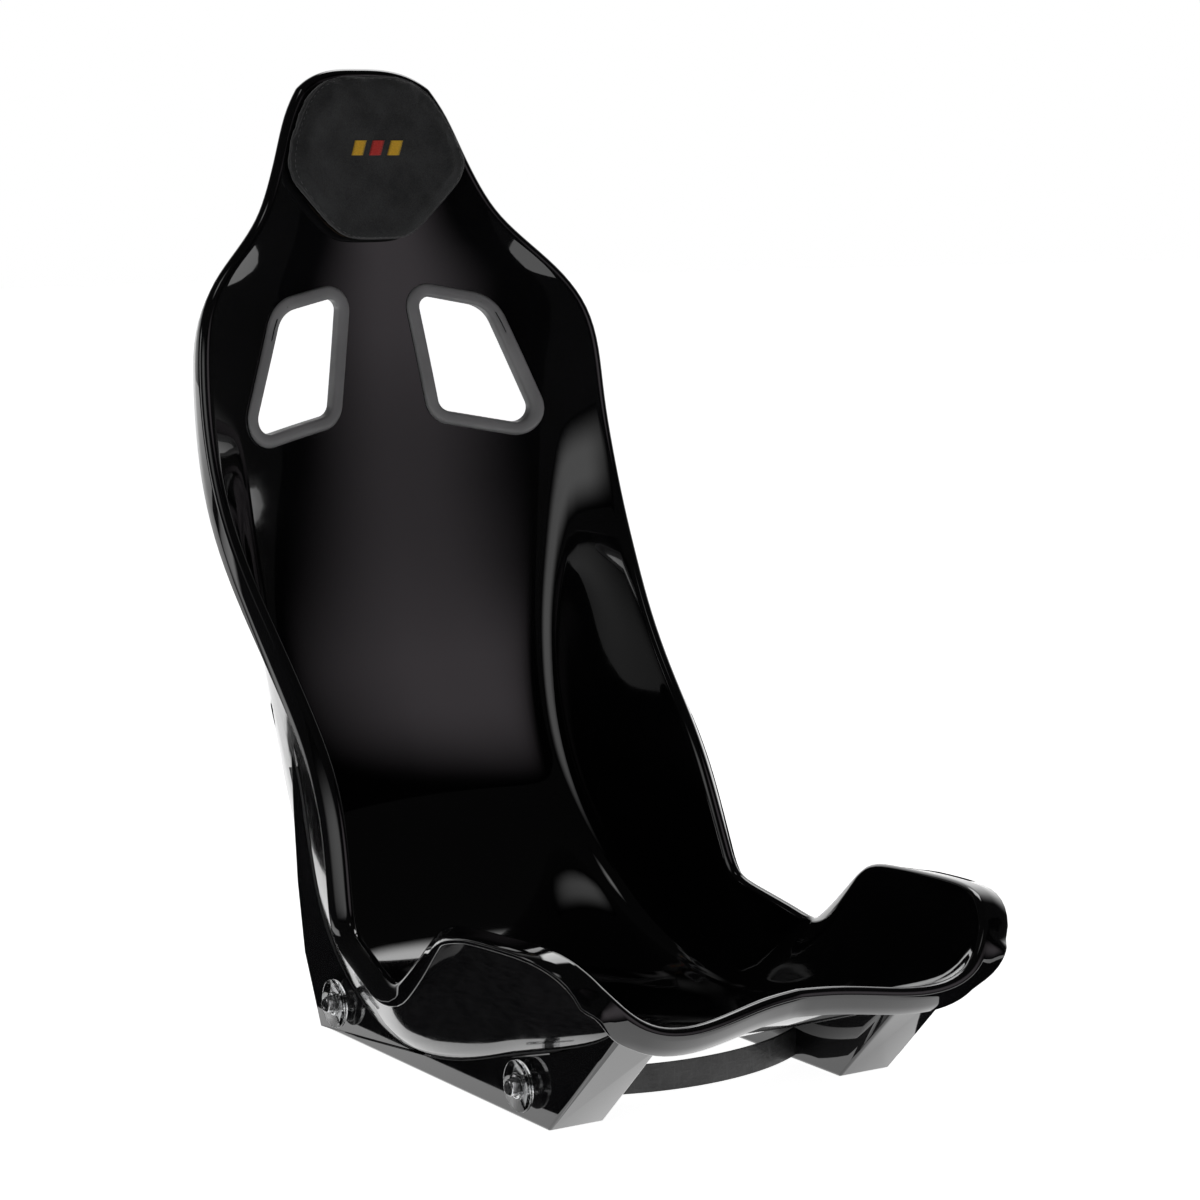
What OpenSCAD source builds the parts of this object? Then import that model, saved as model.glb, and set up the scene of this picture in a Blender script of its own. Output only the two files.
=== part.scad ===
// Fixed-back bucket seat for motorsport and karting: a one-piece laminate shell with two
// harness openings, bonded side boxes with M8 side fixings, and a padded headrest.
// Millimetres, +Z up, the seat faces -Y and is symmetric about the plane X = 0.
// Left and right are the driver's own: the left side is +X.
// The origin is on the resting plane, under the middle of the seat's length.

/* [Seat] */
// Height of the head edge above the resting plane
seat_h = 792; // [660:1:960]
// Width of the shell between the rim edges at the hips
seat_w = 396; // [340:1:470]
// Length of the shell from the lip edge to the head edge
seat_l = 661; // [550:1:800]
// Thickness of the shell laminate
shell_t = 4; // [3:0.5:5]

/* [Rim] */
// Outside radius of the rolled rim
rim_r = 6; // [5.5:0.5:9]
// Width of the return flange behind the roll at the sides
flange_side = 14; // [6:1:18]
// Width of the return flange at the front corners and under the front lip
flange_front = 16; // [6:1:22]

/* [Harness openings] */
// Radius of the corner at the bottom, near the middle of the back
harness_r = 12; // [9:1:14]
// Width of the trim's face around the opening
trim_w = 12; // [10:1:15]
// Height of the trim's face over the shell
trim_h = 3.5; // [2:0.5:6]
// Thickness of the trim's sleeve through the shell
trim_sleeve = 3; // [2:0.5:4]

/* [Side boxes] */
// Width over the outer panels of the two side boxes
box_span = 320; // [300:1:340]
// Width of one side box
box_w = 49; // [42:1:60]
// Thickness of the box walls
box_t = 5; // [3:0.5:7]
// Thickness of the adhesive between a box and the shell
bond_t = 1.5; // [1:0.5:3]
// Length of a box along the resting plane, at the drawn seat length (it follows seat_l)
box_foot = 362; // [340:1:400]

/* [Side fixings] */
// Distance of the front side fixing from the front end of the box's foot
fix_front = 30; // [24:1:40]
// Distance of the rear side fixing from the rear end of the box's foot
fix_rear = 42; // [30:1:48]
// Height of the side fixings above the resting plane
fix_z = 29; // [26:1:40]
// Diameter of the fixing screw's shank
screw_d = 8; // [6:1:8]
// Diameter of the socket cap head
head_d = 13; // [11:0.5:14]
// Height of the socket cap head
head_h = 8; // [6:0.5:10]
// Diameter of the clear disc washer
disc_d = 40; // [30:1:46]
// Thickness of the clear disc washer
disc_t = 3; // [2:0.5:4]
// Height of the spacer nut between panel and disc
nut_h = 6.5; // [5:0.5:8]
// Width across the flats of the spacer nut
nut_af = 13; // [12:0.5:17]
// Thickness of the backing washer inside the box
washer_t = 3; // [2:0.5:4]

/* [Cross member] */
// Height of the cross member's front wall
cross_h = 22; // [14:1:24]
// Thickness of the cross member
cross_t = 3; // [2:0.5:4]

/* [Headrest] */
// Width of the headrest pad
pad_w = 178; // [160:1:184]
// Height of the headrest pad
pad_h = 149; // [134:1:156]
// Thickness of the foam at the middle of the pad
foam_t = 9; // [6:1:14]
// Thickness of the backing board
board_t = 3; // [2:0.5:4]
// Thickness of the suede cover
cover_t = 1.2; // [0.8:0.2:2]
// Thickness of the hook-and-loop strips
hook_t = 1.6; // [1:0.2:2.4]

/* [Hidden] */
sides = ["right", "left"];
ends = ["front", "rear"];
$fn = 64;
// Clearance between pieces that lie on one another
touch = 0.15;
// Clearance around a shank or a sleeve, on the radius
hole_fit = 0.2;

// ---- The shell's lines ----
// Each station is one rib of the shell at the drawn size: the rim edge's half width, depth
// and height, the middle line's depth and height, how much of the depth is an even dish, and
// where the side wall's corner starts as a share of the half width.
drawn_h = 792;
drawn_w = 396;
drawn_l = 661;
stations = [
    [ 60, 348, 776, 356, 792, 1.00, 0.80],
    [ 74, 343, 756, 353, 757, 1.00, 0.80],
    [ 86, 335, 722, 350, 722, 1.00, 0.80],
    [ 99, 327, 691, 347, 691, 1.00, 0.80],
    [114, 318, 664, 343, 664, 1.00, 0.80],
    [140, 306, 638, 339, 638, 1.00, 0.80],
    [169, 295, 612, 335, 612, 1.00, 0.80],
    [186, 284, 585, 332, 585, 1.00, 0.80],
    [192, 276, 550, 328, 550, 1.00, 0.80],
    [193, 271, 506, 324, 506, 0.95, 0.80],
    [193, 258, 460, 320, 460, 0.78, 0.81],
    [190, 238, 412, 315, 412, 0.52, 0.82],
    [184, 208, 364, 309, 364, 0.32, 0.83],
    [177, 176, 320, 302, 320, 0.19, 0.84],
    [173, 140, 276, 292, 270, 0.13, 0.84],
    [172, 106, 237, 276, 218, 0.10, 0.83],
    [173,  83, 200, 252, 166, 0.08, 0.83],
    [176,  68, 162, 220, 122, 0.07, 0.83],
    [180,  56, 126, 184,  86, 0.07, 0.83],
    [182,  47, 104, 150,  60, 0.06, 0.83],
    [187,  18,  97, 112,  39, 0.05, 0.83],
    [193, -20,  88,  66,  22, 0.05, 0.83],
    [197, -46,  81,  22,  14, 0.05, 0.83],
    [197, -60,  86, -14,  12, 0.05, 0.83],
    [196, -94, 113, -56,  14, 0.06, 0.83],
    [195,-124, 142, -100,  20, 0.09, 0.83],
    [194,-146, 147, -140,  29, 0.13, 0.83],
    [193,-196, 150, -192,  45, 0.17, 0.83],
    [191,-250, 153, -240,  65, 0.20, 0.82],
    [186,-281, 150, -273,  84, 0.22, 0.81],
    [173,-304, 132, -299, 106, 0.25, 0.80]];
// Edge lines that close the shell at the head and at the lip, from the middle outwards.
head_line = [[0, 356, 792], [20, 355.5, 792], [38, 353, 789], [51, 351, 783.5], [60, 348, 776]];
lip_line = [[0, -299, 106], [34, -303, 105], [68, -311, 101], [102, -316, 96.5],
            [133, -318, 99], [155, -315, 109], [173, -304, 132]];
corner_softness = 0.25;
head_fade = 3;
lip_fade = 4;

function drawn(p) = [p[0] * seat_w / drawn_w, p[1] * seat_l / drawn_l, p[2] * seat_h / drawn_h];
function rib_rim(s) = drawn([s[0], s[1], s[2]]);
function rib_middle(s) = drawn([0, s[3], s[4]]);

// Uniform cubic B-spline through a list of rows, with straight ends.
function row(p, k) =
    let (n = len(p) - 1)
    k < 0 ? 2 * p[0] - p[1] : k > n ? 2 * p[n] - p[n - 1] : p[k];
function spline(p, t) =
    let (i = min(floor(t), len(p) - 2), f = t - i)
    ((1 - f) ^ 3 * row(p, i - 1) + (3 * f ^ 3 - 6 * f ^ 2 + 4) * row(p, i)
     + (-3 * f ^ 3 + 3 * f ^ 2 + 3 * f + 1) * row(p, i + 1) + f ^ 3 * row(p, i + 2)) / 6;

// Share of the depth at share a of the half width: an even dish plus a soft-cornered wall.
function soft_ramp(d) = (d + sqrt(d * d + corner_softness * corner_softness)) / 2;
function rise(a, dish, corner) =
    let (low = soft_ramp(-corner / (1 - corner)),
         here = soft_ramp((a - corner) / (1 - corner)),
         top = soft_ramp(1))
    dish * a * a + (1 - dish) * (here - low) / (top - low);
function rib(s, a) =
    let (r = rib_rim(s), m = rib_middle(s), w = rise(a, s[5], s[6]))
    [r[0] * a, m[1] + (r[1] - m[1]) * w, m[2] + (r[2] - m[2]) * w];

// A point of the shell's inner face: a runs 0 to 1 from the middle to the rim, v counts ribs.
last_rib = len(stations) - 1;
function clamp(x, range) = max(range[0], min(range[1], x));
function fade(x) = clamp(x, [0, 1]) ^ 2 * (3 - 2 * clamp(x, [0, 1]));
function half_face(a, v) =
    let (at_head = fade(1 - v / head_fade), at_lip = fade(1 - (last_rib - v) / lip_fade))
    rib(spline(stations, v), a)
    + (at_head > 0 ? at_head * (drawn(spline(head_line, a * (len(head_line) - 1)))
        - rib(stations[0], a)) : [0, 0, 0])
    + (at_lip > 0 ? at_lip * (drawn(spline(lip_line, a * (len(lip_line) - 1)))
        - rib(stations[last_rib], a)) : [0, 0, 0]);

// The inner face's point above a given X and Z of the back.
function rib_at(a, z, low, high, n) =
    let (mid = (low + high) / 2)
    n == 0 ? mid
    : half_face(a, mid)[2] > z ? rib_at(a, z, mid, high, n - 1) : rib_at(a, z, low, mid, n - 1);
function back_search(x, z, a, n) =
    let (p = half_face(a, rib_at(a, z, 0, 14, 14)))
    n == 0 ? p : back_search(x, z, min(1, a * x / p[0]), n - 1);
function back_point(x, z, lift = 0) =
    let (ax = max(abs(x), 0.01), p = back_search(ax, z, ax / (seat_w / 2), 4))
    [x, p[1] - lift, z];

// ---- Harness openings ----
// Corners of the right-hand opening's clear edge: X, Z and how much the radius differs.
harness_corners = [[66, 507, 0], [124, 497, 1], [84, 564, 14], [50, 588, -3]];
corner_steps = 5;
edge_steps = 4;
function corner_at(k) =
    let (c = harness_corners[k % 4])
    [c[0] * seat_w / drawn_w, c[1] * seat_h / drawn_h];
function corner_r(k) = harness_r + harness_corners[k % 4][2];
function edge_normal(k) =
    let (d = corner_at(k + 1) - corner_at(k))
    atan2(d[1], d[0]) - acos((corner_r(k) - corner_r(k + 1)) / norm(d));
function arc_point(k, angle, out) =
    corner_at(k) + (corner_r(k) + out) * [cos(angle), sin(angle)];
function turn(k) =
    let (t = edge_normal(k) - edge_normal((k + 3) % 4))
    t < 0 ? t + 360 : t;
function opening(out) = [for (k = [0:3]) each concat(
    [for (q = [0:corner_steps]) arc_point(k, edge_normal(k) - turn(k) * (1 - q / corner_steps), out)],
    [for (q = [1:edge_steps - 1])
        let (f = q / edge_steps)
        (1 - f) * arc_point(k, edge_normal(k), out) + f * arc_point(k + 1, edge_normal(k), out)])];

// ---- The shell's grid ----
side_cols = 14;
rows_per_rib = 2;
last_row = last_rib * rows_per_rib;
row_size = 2 * side_cols + 1;
hole_cols = [3, 8];
hole_rows = [13, 19];
hole_reach = 3;
hole_gap = 3;
function share(i) = sin(75 * i / side_cols) / sin(75);

// Where a vertex on the edge of the opening's block of cells belongs: share f of the way from
// the middle of corner k's arc to the middle of the next one.
function half_arc(k, out) = (corner_r(k) + out) * turn(k) / 2 * PI / 180;
function on_edge(k, f) =
    let (out = trim_sleeve + hole_gap, n = (k + 1) % 4,
         a = arc_point(k, edge_normal(k), out), b = arc_point(k + 1, edge_normal(k), out),
         first = half_arc(k, out), flat = norm(b - a),
         d = f * (first + flat + half_arc(n, out)))
    d < first ? arc_point(k, edge_normal(k) - (1 - d / first) * turn(k) / 2, out)
    : d < first + flat ? a + (b - a) * (d - first) / flat
    : arc_point(n, edge_normal(k) + (d - first - flat) / half_arc(n, out) * turn(n) / 2, out);
function edge_target(i, j) =
    let (fi = (i - hole_cols[0]) / (hole_cols[1] - hole_cols[0]),
         fj = (j - hole_rows[0]) / (hole_rows[1] - hole_rows[0]))
    j == hole_rows[1] ? on_edge(0, fi)
    : i == hole_cols[1] ? on_edge(1, 1 - fj)
    : j == hole_rows[0] ? on_edge(2, 1 - fi)
    : on_edge(3, fj);
function plain_point(i, j) = half_face(share(i), j / rows_per_rib);
function vertex(i, j) =
    let (bi = clamp(i, hole_cols), bj = clamp(j, hole_rows),
         away = max(abs(i - bi), abs(j - bj)), p = plain_point(i, j))
    i == 0 || away >= hole_reach || (i > hole_cols[0] && i < hole_cols[1]
        && j > hole_rows[0] && j < hole_rows[1]) ? p
    : let (q = plain_point(bi, bj), t = edge_target(bi, bj), k = 1 - away / hole_reach)
      back_point(p[0] + k * (t[0] - q[0]), p[2] + k * (t[1] - q[2]));
function in_hole(i, j) =
    let (m = i < 0 ? -i - 1 : i)
    m >= hole_cols[0] && m < hole_cols[1] && j >= hole_rows[0] && j < hole_rows[1];

half_grid = [for (j = [0:last_row]) [for (i = [0:side_cols]) vertex(i, j)]];
function grid(i, j) =
    let (p = half_grid[j][abs(i)])
    [i < 0 ? -p[0] : p[0], p[1], p[2]];
function unit(p) = p / norm(p);
function outward(i, j) =
    let (du = grid(min(i + 1, side_cols), j) - grid(max(i - 1, -side_cols), j),
         dv = grid(i, min(j + 1, last_row)) - grid(i, max(j - 1, 0)))
    unit(cross(du, dv));

// The closed loop of edge vertices, head edge first, then down the left of the wearer.
rim_loop = concat(
    [for (i = [-side_cols:side_cols]) [i, 0]],
    [for (j = [1:last_row]) [side_cols, j]],
    [for (i = [side_cols - 1:-1:-side_cols]) [i, last_row]],
    [for (j = [last_row - 1:-1:1]) [-side_cols, j]]);
loop_n = len(rim_loop);
roll_steps = 3;
// How far the edge rolls over and how wide the flange behind the roll is: at the head, at the
// sides, at the front corners and under the lip.
rim_turns = [[118, 1], [125, flange_side], [80, 1.2 * flange_front], [158, flange_front]];
shoulder_rib = 6;
corner_rib = 25;
blend_ribs = 2;
lip_corner = [168, 132];
function mix(a, b, f) = a + (b - a) * f;
function rim_turn(k) =
    let (v = rim_loop[k][1] / rows_per_rib,
         x = share(abs(rim_loop[k][0])) * drawn(stations[last_rib])[0],
         side = fade((v - shoulder_rib) / blend_ribs),
         corner = fade((v - corner_rib) / blend_ribs),
         lip = v < last_rib ? 0 : fade((lip_corner[0] - x) / (lip_corner[0] - lip_corner[1])))
    mix(mix(mix(rim_turns[0], rim_turns[1], side), rim_turns[2], corner), rim_turns[3], lip);
// Points of the rolled rim at loop place k: the face on side 0, its underside on side 1.
function rim_frame(k) =
    let (a = rim_loop[k], b = rim_loop[(k + 1) % loop_n], c = rim_loop[(k + loop_n - 1) % loop_n],
         o = outward(a[0], a[1]),
         t = unit(grid(b[0], b[1]) - grid(c[0], c[1])))
    [grid(a[0], a[1]), o, unit(cross(t, o))];
function rim_profile(k, under) =
    let (fr = rim_frame(k), angle = rim_turn(k)[0], width = rim_turn(k)[1],
         r = rim_r - under * shell_t,
         centre = fr[0] + rim_r * fr[1])
    concat(
        [for (q = [1:roll_steps])
            let (g = angle * q / roll_steps)
            centre + r * (fr[2] * sin(g) - fr[1] * cos(g))],
        [centre + r * (fr[2] * sin(angle) - fr[1] * cos(angle))
            + width * (fr[1] * sin(angle) + fr[2] * cos(angle))]);
rim_face = [for (k = [0:loop_n - 1]) rim_profile(k, 0)];
rim_under = [for (k = [0:loop_n - 1]) rim_profile(k, 1)];

// Middle of the seat's length, from the rolled edges at the head and at the lip.
all_rim_y = [for (p = rim_face, q = p) q[1]];
all_face_y = [for (r = half_grid, q = r) q[1] + shell_t];
origin_y = (min(all_rim_y) + max(max(all_rim_y), max(all_face_y))) / 2;
module placed() {
    translate([0, -origin_y, 0]) children();
}

function quad(a, b, c, d) = [[a, b, c], [a, c, d]];
module seat_shell() {
    layer = row_size * (last_row + 1);
    strip = roll_steps + 1;
    function face_id(i, j) = j * row_size + i + side_cols;
    function back_id(i, j) = layer + face_id(i, j);
    function roll_id(k, q, under) =
        let (m = k % loop_n, e = rim_loop[m])
        q == 0 ? (under == 0 ? face_id(e[0], e[1]) : back_id(e[0], e[1]))
        : 2 * layer + under * loop_n * strip + m * strip + q - 1;
    points = concat(
        [for (j = [0:last_row], i = [-side_cols:side_cols]) grid(i, j)],
        [for (j = [0:last_row], i = [-side_cols:side_cols]) grid(i, j) + shell_t * outward(i, j)],
        [for (p = rim_face, q = p) q],
        [for (p = rim_under, q = p) q]);
    cells = [for (j = [0:last_row - 1], i = [-side_cols:side_cols - 1]) if (!in_hole(i, j)) [i, j]];
    hole_walls = [for (h = [hole_cols, [-hole_cols[1], -hole_cols[0]]]) each concat(
        [for (i = [h[0]:h[1] - 1]) each [
            [[i, hole_rows[0]], [i + 1, hole_rows[0]]], [[i + 1, hole_rows[1]], [i, hole_rows[1]]]]],
        [for (j = [hole_rows[0]:hole_rows[1] - 1]) each [
            [[h[1], j], [h[1], j + 1]], [[h[0], j + 1], [h[0], j]]]])];
    faces = concat(
        [for (c = cells, f = quad(face_id(c[0], c[1]), face_id(c[0] + 1, c[1]),
            face_id(c[0] + 1, c[1] + 1), face_id(c[0], c[1] + 1))) f],
        [for (c = cells, f = quad(back_id(c[0], c[1]), back_id(c[0], c[1] + 1),
            back_id(c[0] + 1, c[1] + 1), back_id(c[0] + 1, c[1]))) f],
        [for (w = hole_walls)
            let (a = w[0], b = w[1])
            each quad(face_id(a[0], a[1]), face_id(b[0], b[1]), back_id(b[0], b[1]), back_id(a[0], a[1]))],
        [for (k = [0:loop_n - 1], q = [0:strip - 1], f = quad(roll_id(k, q, 0), roll_id(k, q + 1, 0),
            roll_id(k + 1, q + 1, 0), roll_id(k + 1, q, 0))) f],
        [for (k = [0:loop_n - 1], q = [0:strip - 1], f = quad(roll_id(k, q, 1), roll_id(k + 1, q, 1),
            roll_id(k + 1, q + 1, 1), roll_id(k, q + 1, 1))) f],
        [for (k = [0:loop_n - 1], f = quad(roll_id(k, strip, 0), roll_id(k, strip, 1),
            roll_id(k + 1, strip, 1), roll_id(k + 1, strip, 0))) f]);
    color("black") placed() polyhedron(points, faces);
}

// A solid through a list of loops, closed by its first and last loop or joined round. Each list in
// cuts is one piece of a closing face, and all of the piece is seen straight from its first corner.
module skin(loops, joined = false, cuts = []) {
    n = len(loops[0]);
    m = len(loops);
    walls = [for (r = [0:joined ? m - 1 : m - 2], k = [0:n - 1])
        let (s = (r + 1) % m, q = (k + 1) % n)
        each quad(r * n + k, s * n + k, s * n + q, r * n + q)];
    pieces = len(cuts) == 0 ? [[for (k = [0:n - 1]) k]] : cuts;
    caps = joined ? [] : concat(
        pieces,
        [for (c = pieces) [for (k = [0:len(c) - 1]) (m - 1) * n + c[(len(c) - k) % len(c)]]]);
    polyhedron([for (l = loops, p = l) p], concat(walls, caps));
}

// The driver's left side as drawn, or its mirror image on the right.
module sided(side) {
    if (side == "right")
        mirror([1, 0, 0]) children();
    else
        children();
}

// ---- Side boxes ----
box_out = box_span / 2;
box_in = box_out - box_w;
box_gap = shell_t + bond_t;
foot_mid = -27 * seat_l / drawn_l;
foot_l = box_foot * seat_l / drawn_l;
foot_front = foot_mid - foot_l / 2;
foot_rear = foot_mid + foot_l / 2;
// Height on the rear edge, and how far behind the foot the edge is there.
rear_edge = [[0, 0], [40, 22], [77, 33], [125, 40], [189, 45.5], [300, 52]];
rear_wall = 1.15 * box_t;
front_rib = 28.8;
top_steps = 44;

// Where the surface at depth d behind the shell's inner face crosses X = x, as Y and Z.
function shell_normal(a, v) =
    let (e = 0.01,
         da = half_face(a + e, v) - half_face(a - e, v),
         dv = half_face(a, v + e) - half_face(a, v - e))
    unit(cross(da, dv));
function behind(a, v, d) = half_face(a, v) + d * shell_normal(a, v);
function share_at(x, v, d, low, high, n) =
    let (mid = (low + high) / 2)
    n == 0 ? mid
    : behind(mid, v, d)[0] < x ? share_at(x, v, d, mid, high, n - 1)
    : share_at(x, v, d, low, mid, n - 1);
function section(x, v, d) =
    let (p = behind(share_at(x, v, d, 0.3, 1, 13), v, d))
    [p[1], p[2]];

// The box's rear and front edges in the plane X = x.
front_top = section(box_in + box_t, front_rib, box_gap);
front_slope = (foot_front - front_top[0]) / front_top[1];
front_wall = box_t * norm([1, front_slope]);
function rear_y(z) = foot_rear + lookup(z, rear_edge);
function front_y(z) = foot_front - front_slope * z;
function edge_rib(x, rear, low, high, n) =
    let (mid = (low + high) / 2, s = section(x, mid, box_gap))
    n == 0 ? mid
    : s[0] > (rear ? rear_y(s[1]) : front_y(s[1])) ? edge_rib(x, rear, mid, high, n - 1)
    : edge_rib(x, rear, low, mid, n - 1);
function top_ribs(x) = [edge_rib(x, true, 12, 24, 12), edge_rib(x, false, 22, last_rib, 12)];
outer_ribs = top_ribs(box_out);
least_step = 0.01;
// Rib count of point q on the top edge: the same for every X, kept between that X's own ends.
function top_rib(ribs, q) =
    let (u = outer_ribs[0] + (last_rib - outer_ribs[0]) * q / top_steps)
    max(ribs[0] + least_step * q, min(ribs[1] - least_step * (top_steps - q), u));
function box_outline(x) =
    let (ribs = top_ribs(x),
         top = [for (q = [0:top_steps]) section(x, top_rib(ribs, q), box_gap)])
    concat(
        [[x, foot_front, 0], [x, foot_rear, 0]],
        [for (k = [1:3]) [x, rear_y(top[0][1] * k / 4), top[0][1] * k / 4]],
        [for (t = top) [x, t[0], t[1]]]);
// The panels close in three pieces that meet at the top point over the foot's middle.
side_points = 5;
over_middle = side_points + [for (q = [0:top_steps])
    if (section(box_out, top_rib(outer_ribs, q), box_gap)[0] < foot_mid) q][0];
panel_cuts = [
    [0, 1, over_middle],
    [for (k = [1:over_middle]) k],
    concat([0], [for (k = [over_middle:side_points + top_steps]) k])];
hollow_top = rear_edge[len(rear_edge) - 1][0];
function hollow_outline(x) = concat(
    [[x, front_y(box_t) + front_wall, box_t], [x, rear_y(box_t) - rear_wall, box_t]],
    [for (k = [1:len(rear_edge) - 1]) [x, rear_y(rear_edge[k][0]) - rear_wall, rear_edge[k][0]]],
    [[x, front_y(hollow_top) + front_wall, hollow_top]]);
hollow_x = [for (k = [0:6]) box_in + box_t + (box_w - 2 * box_t) * k / 6];

module side_box(side) {
    color("dimgray") placed() sided(side) difference() {
        skin([for (x = concat([box_in], hollow_x, [box_out])) box_outline(x)], cuts = panel_cuts);
        skin([for (x = hollow_x) hollow_outline(x)]);
        for (end = ends)
            at_fixing(end, box_out - box_t - 1)
                cylinder(d = insert_d + 2 * hole_fit, h = box_t + 2);
    }
}

// The bead of adhesive between the outer panel's top edge and the shell.
bead_side = 0.5;
bead_end = 0.4;
bead_rows = 60;
module adhesive_bead(side) {
    outer = box_out - bead_side;
    inner = box_out - box_t + bead_side;
    loops = [for (r = [0:bead_rows])
        let (v = outer_ribs[0] + bead_end + (outer_ribs[1] - outer_ribs[0] - 2 * bead_end) * r / bead_rows)
        [for (c = [[inner, box_gap - 2 * touch], [outer, box_gap - 2 * touch],
                   [outer, shell_t + 2 * touch], [inner, shell_t + 2 * touch]])
            let (s = section(c[0], v, c[1]))
            [c[0], s[0], s[1]]]];
    color("darkslategray") placed() sided(side) skin(loops);
}

// ---- Side fixings ----
insert_d = screw_d + 3;
insert_flange_d = screw_d + 8;
insert_flange_t = 1.5;
screw_l = 35;
socket_af = 0.46 * head_d;
socket_depth = 0.45 * head_h;
ring_d = 21;
ring_w = 2;
ring_h = 0.8;
washer_d = insert_d + 11;
module at_fixing(end, x) {
    translate([x, end == "front" ? foot_front + fix_front : foot_rear - fix_rear, fix_z])
        rotate([0, 90, 0]) children();
}
module fixing(side, end, x) {
    placed() sided(side) at_fixing(end, x) children();
}
module bore(h) {
    translate([0, 0, -1]) cylinder(d = screw_d + 2 * hole_fit, h = h + 2);
}
module cap_screw(end, side) {
    color("silver") fixing(side, end, box_out + nut_h + disc_t) {
        difference() {
            cylinder(d = head_d, h = head_h);
            translate([0, 0, head_h - socket_depth])
                cylinder(d = socket_af / cos(30), h = socket_depth + 1, $fn = 6);
        }
        translate([0, 0, -screw_l]) cylinder(d = screw_d, h = screw_l);
    }
}
module clear_disc(end, side) {
    color("lightcyan", 0.5) fixing(side, end, box_out + nut_h) difference() {
        union() {
            cylinder(d = disc_d, h = disc_t);
            cylinder(d = ring_d, h = disc_t + ring_h);
        }
        bore(disc_t);
        translate([0, 0, disc_t]) cylinder(d = ring_d - 2 * ring_w, h = ring_h + 1);
    }
}
module spacer_nut(end, side) {
    chamfer = 0.12 * nut_af;
    across = nut_af / cos(30);
    color("silver") fixing(side, end, box_out) difference() {
        intersection() {
            cylinder(d = across, h = nut_h, $fn = 6);
            rotate_extrude() polygon([[0, 0], [nut_af / 2, 0], [nut_af / 2 + chamfer, chamfer / 2],
                [nut_af / 2 + chamfer, nut_h - chamfer / 2], [nut_af / 2, nut_h], [0, nut_h]]);
        }
        bore(nut_h);
    }
}
module thread_insert(end, side) {
    body = box_t + washer_t;
    color("goldenrod") fixing(side, end, box_out - body) difference() {
        union() {
            cylinder(d = insert_d, h = body);
            translate([0, 0, -insert_flange_t]) cylinder(d = insert_flange_d, h = insert_flange_t);
        }
        translate([0, 0, -insert_flange_t]) bore(body + insert_flange_t);
    }
}
module backing_washer(end, side) {
    color("gainsboro") fixing(side, end, box_out - box_t - washer_t) difference() {
        cylinder(d = washer_d, h = washer_t);
        translate([0, 0, -1]) cylinder(d = insert_d + 2 * hole_fit, h = washer_t + 2);
    }
}

// ---- Cross member ----
cross_front = -182 * seat_l / drawn_l;
cross_back = -150 * seat_l / drawn_l;
cross_z = 5;
cross_flange = 20;
module cross_member() {
    sag = cross_back - cross_front;
    r = (box_in * box_in + sag * sag) / (2 * sag);
    color("dimgray") placed() intersection() {
        translate([0, cross_front + r, cross_z]) difference() {
            cylinder(r = r, h = cross_h, $fn = 240);
            translate([0, 0, cross_t]) cylinder(r = r - cross_t, h = cross_h, $fn = 240);
            translate([0, 0, -1]) cylinder(r = r - cross_flange, h = cross_h, $fn = 240);
        }
        translate([-box_in, cross_front - 1, 0]) cube([2 * box_in, sag + 22, cross_z + cross_h + 1]);
    }
}

// ---- Harness trims ----
// Profiles as distance out from the clear edge and height over the shell's inner face.
front_profile = [
    [0, 0.4 * trim_h], [0.1 * trim_w, 0.85 * trim_h], [0.25 * trim_w, trim_h],
    [0.75 * trim_w, 0.95 * trim_h], [0.94 * trim_w, 0.68 * trim_h], [trim_w, 0.25 * trim_h],
    [trim_w, 3 * touch], [trim_sleeve, 3 * touch], [trim_sleeve, -shell_t - 2.8], [0, -shell_t - 2.8]];
rear_profile = [
    [trim_sleeve + hole_fit, -shell_t - 0.8], [trim_w, -shell_t - 0.8],
    [trim_w, -shell_t - 2], [0.9 * trim_w, -shell_t - 2.8], [trim_sleeve + hole_fit, -shell_t - 2.8]];
module around_opening(side, profile) {
    loops = [for (c = profile) [for (p = opening(c[0])) back_point(p[0], p[1], c[1])]];
    placed() sided(side) skin([for (k = [0:len(loops[0]) - 1]) [for (l = loops) l[k]]], true);
}
module harness_trim_front(side) {
    color("gray") around_opening(side, front_profile);
}
module harness_trim_rear(side) {
    color("gray") around_opening(side, rear_profile);
}

// ---- Headrest ----
// Half outline of the pad as drawn, from the middle of its bottom edge to the middle of its top.
drawn_pad = [178, 149];
pad_line = [[0, 645], [26, 645], [43, 652], [82, 693], [92, 711], [86, 735], [75, 758],
            [61, 780], [38, 794], [0, 794]];
pad_mid = 719;
pad_half = 22;
pad_top = pad_line[len(pad_line) - 1][1];
function pad_spot(p) =
    [p[0] * pad_w / drawn_pad[0],
     seat_h + pad_top - drawn_h - (pad_top - p[1]) * pad_h / drawn_pad[1]];
pad_centre = pad_spot([0, pad_mid]);
function pad_edge(k) = pad_spot(spline(pad_line, k * (len(pad_line) - 1) / pad_half)) - pad_centre;
pad_loop = concat(
    [for (k = [0:pad_half]) pad_edge(k)],
    [for (k = [pad_half - 1:-1:1]) [-pad_edge(k)[0], pad_edge(k)[1]]]);
function pad_point(p, lift) = back_point(pad_centre[0] + p[0], pad_centre[1] + p[1], lift);

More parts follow.
